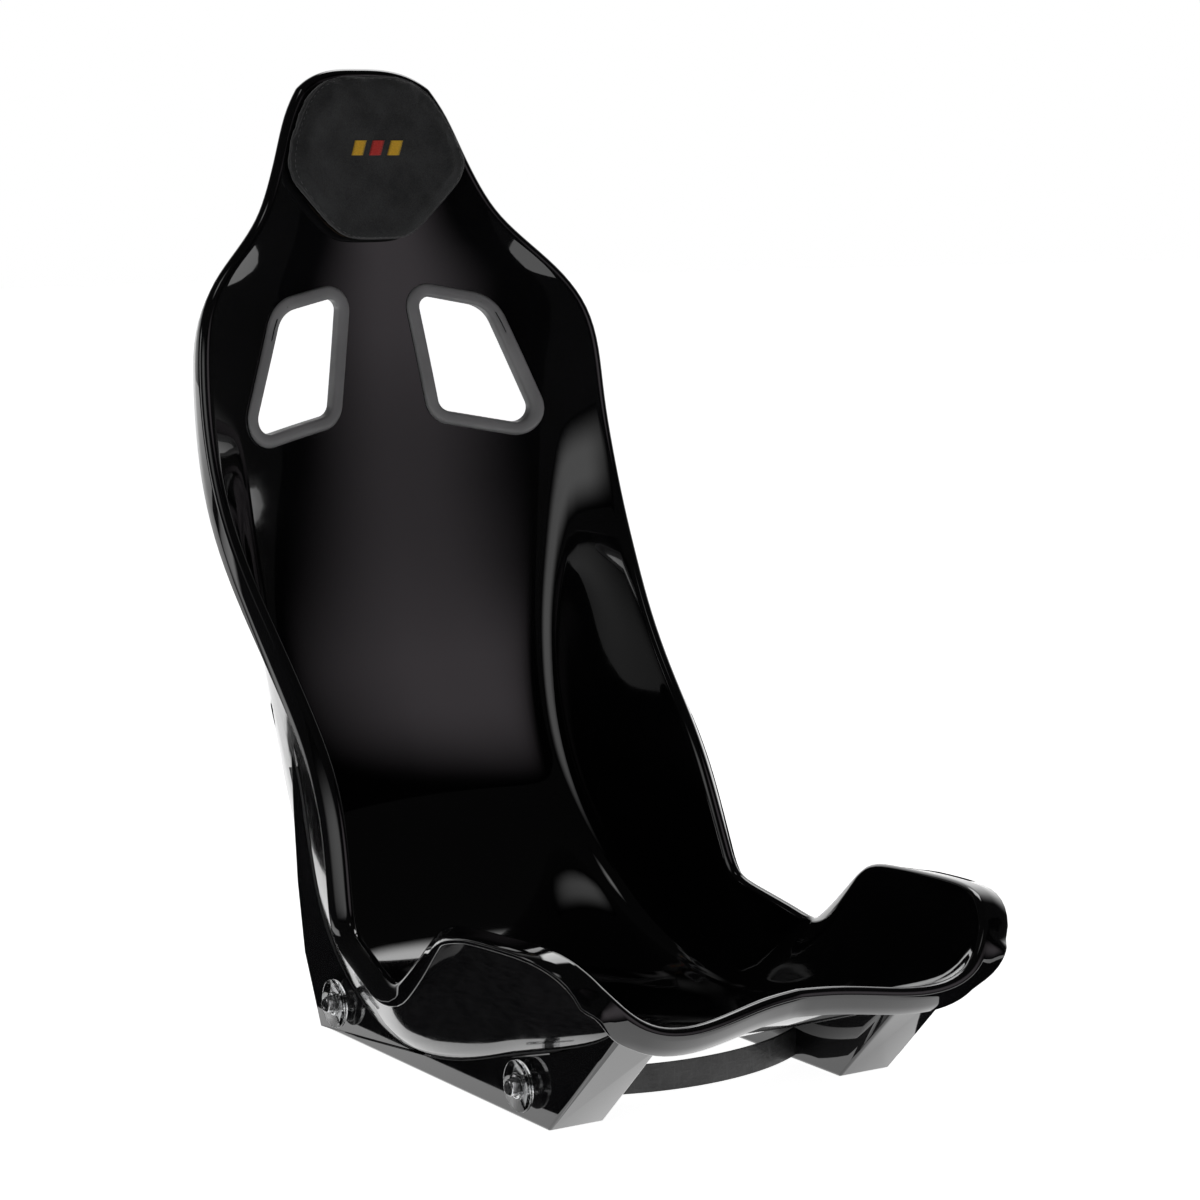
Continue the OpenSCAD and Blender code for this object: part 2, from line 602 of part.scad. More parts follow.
// A layer of the pad from rings given as share of the outline and lift, from back to front.
module pad_layer(rings) {
    n = len(pad_loop);
    m = len(rings);
    points = concat(
        [pad_point([0, 0], rings[0][1]), pad_point([0, 0], rings[m - 1][1])],
        [for (k = [1:m - 2], p = pad_loop) pad_point(rings[k][0] * p, rings[k][1])]);
    function id(k, i) = 2 + (k - 1) * n + i % n;
    faces = concat(
        [for (i = [0:n - 1]) [0, id(1, i), id(1, i + 1)]],
        [for (k = [1:m - 3], i = [0:n - 1], f = quad(id(k, i), id(k + 1, i), id(k + 1, i + 1),
            id(k, i + 1))) f],
        [for (i = [0:n - 1]) [1, id(m - 2, i + 1), id(m - 2, i)]]);
    placed() polyhedron(points, faces);
}
board_back = touch + hook_t;
foam_back = board_back + board_t + 2 * touch;
foam_front = foam_back + foam_t;
cover_in = foam_front + 2 * touch;
cover_share = 1 - 2 * cover_t / pad_w;
foam_share = cover_share - 4 * touch / pad_w;
// Share of the outline and share of the foam's thickness, from the edge to the middle.
foam_dome = [[1, 0.45], [0.994, 0.66], [0.975, 0.8], [0.93, 0.88], [0.75, 0.95], [0.5, 0.98],
             [0.25, 1], [0, 1]];
flat_shares = [0, 0.25, 0.5, 0.75];
board_share = 0.93;
function flat_rings(shares, lift) = [for (s = shares) [s, lift]];
module headrest_board() {
    color("saddlebrown") pad_layer(concat(
        flat_rings(concat(flat_shares, [board_share]), board_back),
        flat_rings(concat([board_share], [for (k = [3:-1:0]) flat_shares[k]]), board_back + board_t)));
}
module headrest_foam() {
    color("khaki") pad_layer(concat(
        flat_rings(concat(flat_shares, [board_share, foam_share]), foam_back),
        [for (d = foam_dome) [d[0] * foam_share, foam_back + d[1] * foam_t]]));
}
module headrest_cover() {
    color("darkslategray") pad_layer(concat(
        [for (k = [len(foam_dome) - 1:-1:0])
            [foam_dome[k][0] * cover_share, cover_in + (foam_dome[k][1] - 1) * foam_t]],
        [[cover_share, board_back], [1, board_back]],
        [for (d = foam_dome) [d[0], cover_in + cover_t + (d[1] - 1) * foam_t]]));
}

// A thin patch on the back: X range at its foot, Z range, lifts, columns, rows and slant.
module patch(x, z, lift, cols, rows, slant = 0) {
    skin([for (r = [0:rows])
        let (h = z[0] + (z[1] - z[0]) * r / rows, shift = slant * (h - z[0]))
        concat(
            [for (c = [0:cols]) back_point(x[0] + (x[1] - x[0]) * c / cols + shift, h, lift[1])],
            [for (c = [cols:-1:0]) back_point(x[0] + (x[1] - x[0]) * c / cols + shift, h, lift[0])])]);
}
stripe_w = 12;
stripe_h = 13;
stripe_step = 18;
stripe_t = 0.8;
module headrest_badge() {
    front = cover_in + cover_t + 2 * touch;
    foot = pad_centre[1] + 3;
    color("gold") placed() for (k = [-1:1])
        patch([k * stripe_step - stripe_w / 2, k * stripe_step + stripe_w / 2],
            [foot, foot + stripe_h], [front, front + stripe_t], 2, 3, 0.35);
}
strip_w = 25;
strip_h = 84;
strip_x = 30;
module hook_and_loop_strips() {
    color("black") placed() for (s = [-1, 1])
        patch([s * strip_x - strip_w / 2, s * strip_x + strip_w / 2],
            [pad_centre[1] - strip_h / 2, pad_centre[1] + strip_h / 2], [touch, touch + hook_t - 0.1], 3, 6);
}

seat_shell();
cross_member();
headrest_board();
headrest_foam();
headrest_cover();
headrest_badge();
hook_and_loop_strips();
side_box("right");  // side_box_right
adhesive_bead("right");  // adhesive_bead_right
harness_trim_front("right");  // harness_trim_front_right
harness_trim_rear("right");  // harness_trim_rear_right
side_box("left");  // side_box_left
adhesive_bead("left");  // adhesive_bead_left
harness_trim_front("left");  // harness_trim_front_left
harness_trim_rear("left");  // harness_trim_rear_left
cap_screw("front", "right");  // cap_screw_front_right
clear_disc("front", "right");  // clear_disc_front_right
spacer_nut("front", "right");  // spacer_nut_front_right
thread_insert("front", "right");  // thread_insert_front_right
backing_washer("front", "right");  // backing_washer_front_right
cap_screw("rear", "right");  // cap_screw_rear_right
clear_disc("rear", "right");  // clear_disc_rear_right
spacer_nut("rear", "right");  // spacer_nut_rear_right
thread_insert("rear", "right");  // thread_insert_rear_right
backing_washer("rear", "right");  // backing_washer_rear_right
cap_screw("front", "left");  // cap_screw_front_left
clear_disc("front", "left");  // clear_disc_front_left
spacer_nut("front", "left");  // spacer_nut_front_left
thread_insert("front", "left");  // thread_insert_front_left
backing_washer("front", "left");  // backing_washer_front_left
cap_screw("rear", "left");  // cap_screw_rear_left
clear_disc("rear", "left");  // clear_disc_rear_left
spacer_nut("rear", "left");  // spacer_nut_rear_left
thread_insert("rear", "left");  // thread_insert_rear_left
backing_washer("rear", "left");  // backing_washer_rear_left
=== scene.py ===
# %% [markdown]
# # A moulded racing seat
# The seat is one gloss-black glass-fibre shell on two side boxes, with a suede head pad,
# two trimmed harness openings and four side bolts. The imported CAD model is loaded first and
# never moved: every new piece below is measured against it.
# %% Load the frame
import math
import bmesh
import bpy
import numpy as np
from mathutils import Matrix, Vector
from mathutils.bvhtree import BVHTree


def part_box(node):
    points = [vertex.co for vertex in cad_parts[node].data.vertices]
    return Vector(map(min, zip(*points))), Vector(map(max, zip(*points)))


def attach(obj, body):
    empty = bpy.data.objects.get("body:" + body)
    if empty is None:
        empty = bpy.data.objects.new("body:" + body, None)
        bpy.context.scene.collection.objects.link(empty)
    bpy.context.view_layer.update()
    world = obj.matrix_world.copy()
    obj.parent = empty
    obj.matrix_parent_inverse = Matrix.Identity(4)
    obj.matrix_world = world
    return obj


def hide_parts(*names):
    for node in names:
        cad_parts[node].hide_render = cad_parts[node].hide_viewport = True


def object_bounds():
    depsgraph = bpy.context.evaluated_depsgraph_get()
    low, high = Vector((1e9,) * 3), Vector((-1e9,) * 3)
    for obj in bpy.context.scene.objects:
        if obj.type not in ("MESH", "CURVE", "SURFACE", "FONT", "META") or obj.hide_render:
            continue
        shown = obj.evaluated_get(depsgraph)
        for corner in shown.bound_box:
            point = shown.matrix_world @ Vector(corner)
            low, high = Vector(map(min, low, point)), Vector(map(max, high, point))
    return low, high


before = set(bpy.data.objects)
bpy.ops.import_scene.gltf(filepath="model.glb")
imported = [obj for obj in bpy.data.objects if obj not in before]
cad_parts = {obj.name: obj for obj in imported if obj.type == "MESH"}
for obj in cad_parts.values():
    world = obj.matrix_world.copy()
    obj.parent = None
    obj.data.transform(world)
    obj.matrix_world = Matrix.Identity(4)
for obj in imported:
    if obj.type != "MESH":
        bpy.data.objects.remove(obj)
cad_low, cad_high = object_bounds()
print("nodes", len(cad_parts), "box", [round(v, 3) for v in (*cad_low, *cad_high)])

# %% [markdown]
# ## Camera
# A long lens from the seat's front right, a little above the pan. A long lens keeps the
# edges nearly parallel, as in a product view, and its place is given in the frame's metres.
# %% Camera
CAMERA_PLACE = Vector((-1.4328, -2.2701, 0.7284))
AZIMUTH, ELEVATION = math.radians(-32.85), math.radians(7.75)
LENS_MM, SENSOR_MM, CLIP_NEAR, CLIP_FAR = 99.65, 36.0, 0.05, 100.0
look = Vector((-math.sin(AZIMUTH) * math.cos(ELEVATION), math.cos(AZIMUTH) * math.cos(ELEVATION),
               -math.sin(ELEVATION)))
lens = bpy.data.cameras.new("view_lens")
lens.lens, lens.sensor_width = LENS_MM, SENSOR_MM
lens.clip_start, lens.clip_end = CLIP_NEAR, CLIP_FAR
camera = bpy.data.objects.new("view", lens)
camera.location, camera.rotation_mode = CAMERA_PLACE, "QUATERNION"
camera.rotation_quaternion = look.to_track_quat("-Z", "Y")
bpy.context.scene.collection.objects.link(camera)
bpy.context.scene.camera = camera
print("camera looks along", [round(v, 3) for v in look])

# %% [markdown]
# ## Helpers for meshes
# Every piece is made from points and faces worked out in numpy. The helper joins points that
# lie together, turns the faces outwards and marks creases sharp, so that the curves shade
# smoothly and the trimmed edges stay crisp.
# %% Mesh helpers
ROOT = "root"
MM = 0.001
WELD = 1e-6


def piece(name, points, faces, crease=35.0, closed=True):
    mesh = bpy.data.meshes.new(name)
    mesh.from_pydata([tuple(p) for p in np.asarray(points, float)], [], [tuple(f) for f in faces])
    bm = bmesh.new()
    bm.from_mesh(mesh)
    bmesh.ops.remove_doubles(bm, verts=bm.verts, dist=WELD)
    if closed:
        bmesh.ops.recalc_face_normals(bm, faces=bm.faces)
    bm.to_mesh(mesh)
    bm.free()
    mesh.shade_smooth()
    mesh.set_sharp_from_angle(angle=math.radians(crease))
    obj = bpy.data.objects.new(name, mesh)
    bpy.context.scene.collection.objects.link(obj)
    return obj


def fit(obj, material, slot, *nodes):
    if material is not None:
        obj.data.materials.append(material)
    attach(obj, ROOT)
    if nodes:
        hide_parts(*nodes)
    return obj


def loft(loops, ring=False, tube=False, caps=False):
    """Faces through equal loops of points: ring closes each loop, tube joins the last loop to
    the first, caps fills the two ends."""
    count, size = len(loops), len(loops[0])
    points = np.concatenate(loops)
    faces = [(r * size + k, ((r + 1) % count) * size + k,
              ((r + 1) % count) * size + (k + 1) % size, r * size + (k + 1) % size)
             for r in range(count if tube else count - 1)
             for k in range(size if ring else size - 1)]
    if caps:
        faces += [tuple(range(size)), tuple(range((count - 1) * size, count * size))[::-1]]
    return points, faces


def unit(v):
    return v / np.maximum(np.linalg.norm(v, axis=-1, keepdims=True), 1e-12)


print("helpers: piece, fit, loft, unit")

# %% [markdown]
# ## The shell's lines
# The real shell is laid up in a mould whose ribs run across the seat. Each station below is
# one rib: the rim edge's half width, depth and height, the middle line's depth and height, how
# dished the rib is and where its side wall turns up. A smooth spline runs through the ribs,
# which is the same rule that the CAD part uses, so a finer mesh lies on the same surface.
# %% Stations and splines
STATIONS = np.array([
    [60, 348, 776, 356, 792, 1.00, .80], [74, 343, 756, 353, 757, 1.00, .80],
    [86, 335, 722, 350, 722, 1.00, .80], [99, 327, 691, 347, 691, 1.00, .80],
    [114, 318, 664, 343, 664, 1.00, .80], [140, 306, 638, 339, 638, 1.00, .80],
    [169, 295, 612, 335, 612, 1.00, .80], [186, 284, 585, 332, 585, 1.00, .80],
    [192, 276, 550, 328, 550, 1.00, .80], [193, 271, 506, 324, 506, .95, .80],
    [193, 258, 460, 320, 460, .78, .81], [190, 238, 412, 315, 412, .52, .82],
    [184, 208, 364, 309, 364, .32, .83], [177, 176, 320, 302, 320, .19, .84],
    [173, 140, 276, 292, 270, .13, .84], [172, 106, 237, 276, 218, .10, .83],
    [173, 83, 200, 252, 166, .08, .83], [176, 68, 162, 220, 122, .07, .83],
    [180, 56, 126, 184, 86, .07, .83], [182, 47, 104, 150, 60, .06, .83],
    [187, 18, 97, 112, 39, .05, .83], [193, -20, 88, 66, 22, .05, .83],
    [197, -46, 81, 22, 14, .05, .83], [197, -60, 86, -14, 12, .05, .83],
    [196, -94, 113, -56, 14, .06, .83], [195, -124, 142, -100, 20, .09, .83],
    [194, -146, 147, -140, 29, .13, .83], [193, -196, 150, -192, 45, .17, .83],
    [191, -250, 153, -240, 65, .20, .82], [186, -281, 150, -273, 84, .22, .81],
    [173, -304, 132, -299, 106, .25, .80]])
HEAD = np.array([[0, 356, 792], [20, 355.5, 792], [38, 353, 789], [51, 351, 783.5],
                 [60, 348, 776.]])
LIP = np.array([[0, -299, 106], [34, -303, 105], [68, -311, 101], [102, -316, 96.5],
                [133, -318, 99], [155, -315, 109], [173, -304, 132.]])
LAST = len(STATIONS) - 1
SOFTNESS, HEAD_FADE, LIP_FADE = 0.25, 3.0, 4.0
SHELL_T = 4.0


def spline(rows, t):
    t = np.asarray(t, float)
    padded = np.vstack([2 * rows[0] - rows[1], rows, 2 * rows[-1] - rows[-2]])
    i = np.clip(np.floor(t).astype(int), 0, len(rows) - 2)
    f = (t - i)[..., None]
    return ((1 - f) ** 3 * padded[i] + (3 * f ** 3 - 6 * f ** 2 + 4) * padded[i + 1]
            + (-3 * f ** 3 + 3 * f ** 2 + 3 * f + 1) * padded[i + 2] + f ** 3 * padded[i + 3]) / 6


def fade(x):
    x = np.clip(x, 0.0, 1.0)
    return x * x * (3 - 2 * x)


def ramp(d):
    return (d + np.sqrt(d * d + SOFTNESS ** 2)) / 2


def rise(a, dish, corner):
    low, here = ramp(-corner / (1 - corner)), ramp((a - corner) / (1 - corner))
    return dish * a * a + (1 - dish) * (here - low) / (ramp(1.0) - low)


def rib(s, a):
    w = rise(a, s[..., 5], s[..., 6])
    return np.stack([s[..., 0] * a, s[..., 3] + (s[..., 1] - s[..., 3]) * w,
                     s[..., 4] + (s[..., 2] - s[..., 4]) * w], -1)


def half_face(a, v):
    """Inner face, in drawn millimetres: a is 0 at the middle and 1 at the rim, v counts ribs."""
    a, v = np.broadcast_arrays(np.asarray(a, float), np.asarray(v, float))
    at_head, at_lip = fade(1 - v / HEAD_FADE)[..., None], fade(1 - (LAST - v) / LIP_FADE)[..., None]
    return (rib(spline(STATIONS, v), a)
            + at_head * (spline(HEAD, a * (len(HEAD) - 1)) - rib(STATIONS[0], a))
            + at_lip * (spline(LIP, a * (len(LIP) - 1)) - rib(STATIONS[-1], a)))


FIRST_HALF_W, BACK_RIBS = 198.0, 14.0
ROUNDS, HALVINGS = 7, 20


def back_point(x, z, lift=0.0):
    """The point of the backrest's face at a given X and Z, raised towards the driver. The rib
    is found by halving, then the share of the half width is put right, a few times over."""
    x, z, lift = np.broadcast_arrays(*(np.asarray(value, float) for value in (x, z, lift)))
    across = np.maximum(np.abs(x), 0.01)
    a = across / FIRST_HALF_W
    for _ in range(ROUNDS):
        low, high = np.zeros_like(a), np.full_like(a, BACK_RIBS)
        for _ in range(HALVINGS):
            mid = (low + high) / 2
            above = half_face(a, mid)[..., 2] > z
            low, high = np.where(above, mid, low), np.where(above, high, mid)
        p = half_face(a, mid)
        a = np.minimum(1.0, a * across / p[..., 0])
    return np.stack([x, p[..., 1] - lift, z], -1)


print("middle of the back at the waist", half_face(0.0, 12.0).round(1))

# %% [markdown]
# ## Harness openings
# Each shoulder belt passes through a four-cornered opening whose corners are round. Its
# outline is drawn from four circles and the straight lines that touch them.
# %% Opening outline
CORNERS = np.array([[66, 507], [124, 497], [84, 564], [50, 588.]])
RADII = 12 + np.array([0, 1, 14, -3.])
SLEEVE, HOLE_GAP = 3.0, 3.0


def edge_normal(k):
    d = CORNERS[(k + 1) % 4] - CORNERS[k % 4]
    return math.atan2(d[1], d[0]) - math.acos((RADII[k % 4] - RADII[(k + 1) % 4]) / np.hypot(*d))


def turn(k):
    t = edge_normal(k) - edge_normal(k - 1)
    return t + 2 * math.pi if t < 0 else t


def arc_point(k, angle, out):
    return CORNERS[k % 4] + (RADII[k % 4] + out) * np.array([math.cos(angle), math.sin(angle)])


def opening(out, arc=10, edge=8):
    loop = []
    for k in range(4):
        loop += [arc_point(k, edge_normal(k) - turn(k) * (1 - q / arc), out)
                 for q in range(arc + 1)]
        a, b = arc_point(k, edge_normal(k), out), arc_point(k + 1, edge_normal(k), out)
        loop += [a + (b - a) * q / edge for q in range(1, edge)]
    return np.array(loop)


def on_edge(k, f):
    """Share f of the way from the middle of one corner's arc to the middle of the next."""
    out, n = SLEEVE + HOLE_GAP, (k + 1) % 4
    a, b = arc_point(k, edge_normal(k), out), arc_point(n, edge_normal(k), out)
    first, last = (RADII[k] + out) * turn(k) / 2, (RADII[n] + out) * turn(n) / 2
    flat = np.hypot(*(b - a))
    d = f * (first + flat + last)
    if d < first:
        return arc_point(k, edge_normal(k) - (1 - d / first) * turn(k) / 2, out)
    if d < first + flat:
        return a + (b - a) * (d - first) / flat
    return arc_point(n, edge_normal(k) + (d - first - flat) / last * turn(n) / 2, out)


print("opening", opening(0).min(0).round(1), opening(0).max(0).round(1))

# %% [markdown]
# ## The shell's grid
# The face is a grid of ribs and columns, closer together where the walls turn up. Round each
# opening the grid slides along the surface until a row and a column lie on its outline, so
# the hole has a smooth edge and the reflections round it stay clean.
# %% Grid of the face
COLS, PER_RIB, REACH = 28, 4, 6
ROWS = LAST * PER_RIB
HOLE_I, HOLE_J = (6, 16), (26, 38)
EDGE_TURN = math.radians(75)


def share(i):
    """Share of the half width at a column; columns crowd together towards the rim."""
    return np.sin(EDGE_TURN * np.asarray(i) / COLS) / math.sin(EDGE_TURN)


columns, rows = np.meshgrid(np.arange(COLS + 1), np.arange(ROWS + 1))
plain = half_face(share(columns), rows / PER_RIB)
half = plain.copy()
near_i, near_j = np.clip(columns, *HOLE_I), np.clip(rows, *HOLE_J)
away = np.maximum(abs(columns - near_i), abs(rows - near_j))
inside = (columns > HOLE_I[0]) & (columns < HOLE_I[1]) & (rows > HOLE_J[0]) & (rows < HOLE_J[1])
moving = np.argwhere((away < REACH) & (columns > 0) & ~inside)
goals = []
for j, i in moving:
    bi, bj = near_i[j, i], near_j[j, i]
    fi, fj = (bi - HOLE_I[0]) / (HOLE_I[1] - HOLE_I[0]), (bj - HOLE_J[0]) / (HOLE_J[1] - HOLE_J[0])
    t = (on_edge(0, fi) if bj == HOLE_J[1] else on_edge(1, 1 - fj) if bi == HOLE_I[1]
         else on_edge(2, 1 - fi) if bj == HOLE_J[0] else on_edge(3, fj))
    q, k = plain[bj, bi], 1 - away[j, i] / REACH
    goals.append((plain[j, i, 0] + k * (t[0] - q[0]), plain[j, i, 2] + k * (t[1] - q[2])))
goals = np.array(goals)
half[moving[:, 0], moving[:, 1]] = back_point(goals[:, 0], goals[:, 1])
face = np.concatenate([half[:, :0:-1] * [-1, 1, 1], half], axis=1)
along = np.zeros_like(face)
across = np.zeros_like(face)
across[:, 1:-1] = face[:, 2:] - face[:, :-2]
across[:, 0], across[:, -1] = face[:, 1] - face[:, 0], face[:, -1] - face[:, -2]
along[1:-1] = face[2:] - face[:-2]
along[0], along[-1] = face[1] - face[0], face[-1] - face[-2]
normal = unit(np.cross(across, along))
print("grid", face.shape[:2], "moved round the openings", len(moving))

# %% [markdown]
# ## The rolled rim
# At its edge the laminate rolls over a 6 mm radius and ends in a flange, which stiffens the
# shell and gives it the soft edge that a driver slides over. The roll turns further at the
# lip than at the shoulders, so its angle and the flange's width fade from one to the next.
# %% Rim profile
RIM_R = 6.0
ROLL_STEPS = 7
END_SHARES = (0.12, 0.3, 0.5, 0.7, 0.88)
TURNS = np.array([[118, 1], [125, 14], [80, 19.2], [158, 16.]])
SHOULDER_RIB, CORNER_RIB, BLEND_RIBS, LIP_CORNER = 6, 25, 2, (168, 132)
WIDTH = 2 * COLS + 1
loop_ids = ([(0, i) for i in range(WIDTH)] + [(j, WIDTH - 1) for j in range(1, ROWS + 1)]
            + [(ROWS, i) for i in range(WIDTH - 2, -1, -1)]
            + [(j, 0) for j in range(ROWS - 1, 0, -1)])
loop_ids = np.array(loop_ids)
edge, edge_out = face[loop_ids[:, 0], loop_ids[:, 1]], normal[loop_ids[:, 0], loop_ids[:, 1]]
edge_along = unit(np.roll(edge, -1, 0) - np.roll(edge, 1, 0))
edge_side = unit(np.cross(edge_along, edge_out))
rim_rib = loop_ids[:, 0] / PER_RIB
lip_x = share(abs(loop_ids[:, 1] - COLS)) * STATIONS[-1, 0]
at_corner = fade((LIP_CORNER[0] - lip_x) / (LIP_CORNER[0] - LIP_CORNER[1]))
mixes = [fade((rim_rib - SHOULDER_RIB) / BLEND_RIBS), fade((rim_rib - CORNER_RIB) / BLEND_RIBS),
         np.where(rim_rib < LAST, 0.0, at_corner)]
angle_width = np.repeat(TURNS[:1], len(rim_rib), 0)
for k, m in enumerate(mixes):
    angle_width = angle_width + (TURNS[k + 1] - angle_width) * m[:, None]
angle, flange = np.radians(angle_width[:, :1]), angle_width[:, 1:]
centre = edge + RIM_R * edge_out
EASE = 1.0


def rolled(radius):
    """Rings of the roll and its flange, the flange's direction, and what its end has left."""
    turned = [angle * q / ROLL_STEPS for q in range(1, ROLL_STEPS + 1)]
    arcs = [centre + radius * (edge_side * np.sin(t) - edge_out * np.cos(t)) for t in turned]
    tip = edge_out * np.sin(angle) + edge_side * np.cos(angle)
    reach = np.maximum(flange - EASE, 0.3 * flange)
    return arcs + [arcs[-1] + tip * reach * s for s in (0.5, 1.0)], tip, flange - reach


face_rings, tip, left = rolled(RIM_R)
under_rings, _, _ = rolled(RIM_R - SHELL_T)
toward = under_rings[-1] - face_rings[-1]
end_rings = [face_rings[-1] + toward * s + tip * left * math.sin(math.pi * s) ** 0.5
             for s in END_SHARES]
print("rim points", len(edge), "flange from", flange.min().round(1), "to", flange.max().round(1))

# %% [markdown]
# ## Shell mesh
# Face, back, rim and the walls of the openings are joined into one closed skin, 4 mm thick,
# as the real laminate is. The moulded face takes the gelcoat; the back is finished another
# way, so its faces get a second material.
# %% Shell mesh
back = face + SHELL_T * normal
layer = WIDTH * (ROWS + 1)
ids = np.arange(layer).reshape(ROWS + 1, WIDTH)


def in_hole(j, i):
    m = i - COLS if i >= COLS else COLS - 1 - i
    return HOLE_I[0] <= m < HOLE_I[1] and HOLE_J[0] <= j < HOLE_J[1]


cells = [(j, i) for j in range(ROWS) for i in range(WIDTH - 1) if not in_hole(j, i)]
face_quads = [(ids[j, i], ids[j, i + 1], ids[j + 1, i + 1], ids[j + 1, i]) for j, i in cells]
back_quads = [tuple(layer + q for q in f[::-1]) for f in face_quads]
wall_quads = []
for j in range(ROWS):
    for i in range(WIDTH - 1):
        for dj, di in ((1, 0), (0, 1)):
            nj, ni = j + dj, i + di
            if nj < ROWS and ni < WIDTH - 1 and in_hole(j, i) != in_hole(nj, ni):
                a, b = (ids[nj, i], ids[nj, i + 1]) if dj else (ids[j, ni], ids[j + 1, ni])
                wall_quads.append((a, b, layer + b, layer + a))
rim_rings = face_rings + end_rings + under_rings[::-1]
count = len(edge)
ring_ids = [loop_ids[:, 0] * WIDTH + loop_ids[:, 1]]
ring_ids += [2 * layer + r * count + np.arange(count) for r in range(len(rim_rings))]
ring_ids += [layer + ring_ids[0]]
rim_quads = [(a[k], a[(k + 1) % count], b[(k + 1) % count], b[k])
             for a, b in zip(ring_ids[:-1], ring_ids[1:]) for k in range(count)]
shell_points = np.concatenate([face.reshape(-1, 3), back.reshape(-1, 3)] + rim_rings)
cad_shell_low, cad_shell_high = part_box("seat_shell")
ORIGIN_Y = (shell_points[:, 1].min() + shell_points[:, 1].max()) / 2
print("origin", round(ORIGIN_Y, 3), "shell is off the CAD box by (mm)",
      np.round((shell_points.min(0) - [0, ORIGIN_Y, 0]) - np.array(cad_shell_low) / MM, 2),
      np.round((shell_points.max(0) - [0, ORIGIN_Y, 0]) - np.array(cad_shell_high) / MM, 2))


def placed(points):
    """Drawn millimetres to metres in the frame."""
    return (np.asarray(points) - [0, ORIGIN_Y, 0]) * MM


all_quads = face_quads + back_quads + rim_quads + wall_quads
used = np.unique(all_quads)
renumber = np.zeros(len(shell_points), int)
renumber[used] = np.arange(len(used))
shell_faces = [tuple(int(renumber[q]) for q in quad) for quad in all_quads]
shell = piece("shell", placed(shell_points[used]), shell_faces, crease=50)

# %% [markdown]
# ## Node helpers
# Every finish is a small node tree on the Principled shader. Constant values sit on the
# shader's own sockets; only what varies over the surface is linked. Textures read the object
# coordinates, in metres, because the pieces have no flat map.
# %% Material helpers


def finish_of(name, colour, rough, metal=0.0, **sockets):
    mat = bpy.data.materials.new(name)
    mat.use_nodes = True
    tree = mat.node_tree
    shader = tree.nodes["Principled BSDF"]
    values = {"Base Color": (*colour, 1), "Roughness": rough, "Metallic": metal, **sockets}
    for key, value in values.items():
        shader.inputs[key.replace("_", " ")].default_value = value
    return mat, tree, shader


def noise(tree, scale, detail=3.0, rough=0.5, stretch=(1, 1, 1)):
    coords = tree.nodes.new("ShaderNodeTexCoord")
    mapping = tree.nodes.new("ShaderNodeMapping")
    mapping.inputs["Scale"].default_value = stretch
    tex = tree.nodes.new("ShaderNodeTexNoise")
    tex.inputs["Scale"].default_value = scale
    tex.inputs["Detail"].default_value = detail
    tex.inputs["Roughness"].default_value = rough
    tree.links.new(coords.outputs["Object"], mapping.inputs["Vector"])
    tree.links.new(mapping.outputs["Vector"], tex.inputs["Vector"])
    return tex.outputs["Fac"]


def remap(tree, source, start, end, low, high, smooth=False):
    node = tree.nodes.new("ShaderNodeMapRange")
    if smooth:
        node.interpolation_type = "SMOOTHSTEP"
    for key, value in (("From Min", start), ("From Max", end), ("To Min", low), ("To Max", high)):
        node.inputs[key].default_value = value
    tree.links.new(source, node.inputs["Value"])
    return node.outputs["Result"]


def spread(tree, source, low, high):
    """The middle of a noise spread over a range of values."""
    return remap(tree, source, 0.35, 0.65, low, high)


def tint(tree, source, dark, light, start=0.35, end=0.65):
    ramp_node = tree.nodes.new("ShaderNodeValToRGB")
    for stop, place, colour in zip(ramp_node.color_ramp.elements, (start, end), (dark, light)):
        stop.position, stop.color = place, (*colour, 1)
    tree.links.new(source, ramp_node.inputs["Fac"])
    return ramp_node.outputs["Color"]


def math_of(tree, operation, *values):
    """A Math node; each value is a number or another node's output."""
    node = tree.nodes.new("ShaderNodeMath")
    node.operation = operation
    for socket, value in zip(node.inputs, values):
        if isinstance(value, (int, float)):
            socket.default_value = value
        else:
            tree.links.new(value, socket)
    return node.outputs[0]


def vary(tree, shader, **sources):
    """Link what varies over the surface to the shader's sockets."""
    for key, source in sources.items():
        tree.links.new(source, shader.inputs[key.replace("_", " ")])


def shades(colour, low, high):
    return [c * low for c in colour], [c * high for c in colour]


def bump(tree, shader, source, depth, strength=1.0, below=None):
    node = tree.nodes.new("ShaderNodeBump")
    node.inputs["Distance"].default_value = depth
    node.inputs["Strength"].default_value = strength
    tree.links.new(source, node.inputs["Height"])
    if below is not None:
        tree.links.new(below, node.inputs["Normal"])
    tree.links.new(node.outputs["Normal"], shader.inputs["Normal"])
    return node.outputs["Normal"]


print("helpers: finish_of, noise, remap, spread, tint, math_of, vary, bump")

# %% [markdown]
# ## Gelcoat, flowcoat and bare laminate
# The moulded face is black gelcoat, polished out of the mould: almost a mirror, with a very
# faint orange-peel ripple and fine polishing haze. The back of a hand-laid shell is never
# polished: it is brushed with black flowcoat, which is glossy too but follows the ripples and
# the strands of the glass mat under it. The cross member is bare mat in black resin.
# %% Gelcoat, flowcoat and laminate


def make_gelcoat(name, colour, haze, ripple):
    mat, tree, shader = finish_of(name, colour, 0.06, Coat_Weight=1.0, Coat_Roughness=0.02,
                                  IOR=1.5)
    vary(tree, shader, Base_Color=tint(tree, noise(tree, 9.0, 4.0), *shades(colour, 0.7, 1.25)),
         Roughness=spread(tree, noise(tree, 34.0, 5.0, 0.6), *haze))
    bump(tree, shader, noise(tree, 95.0, 2.0), ripple)
    return mat


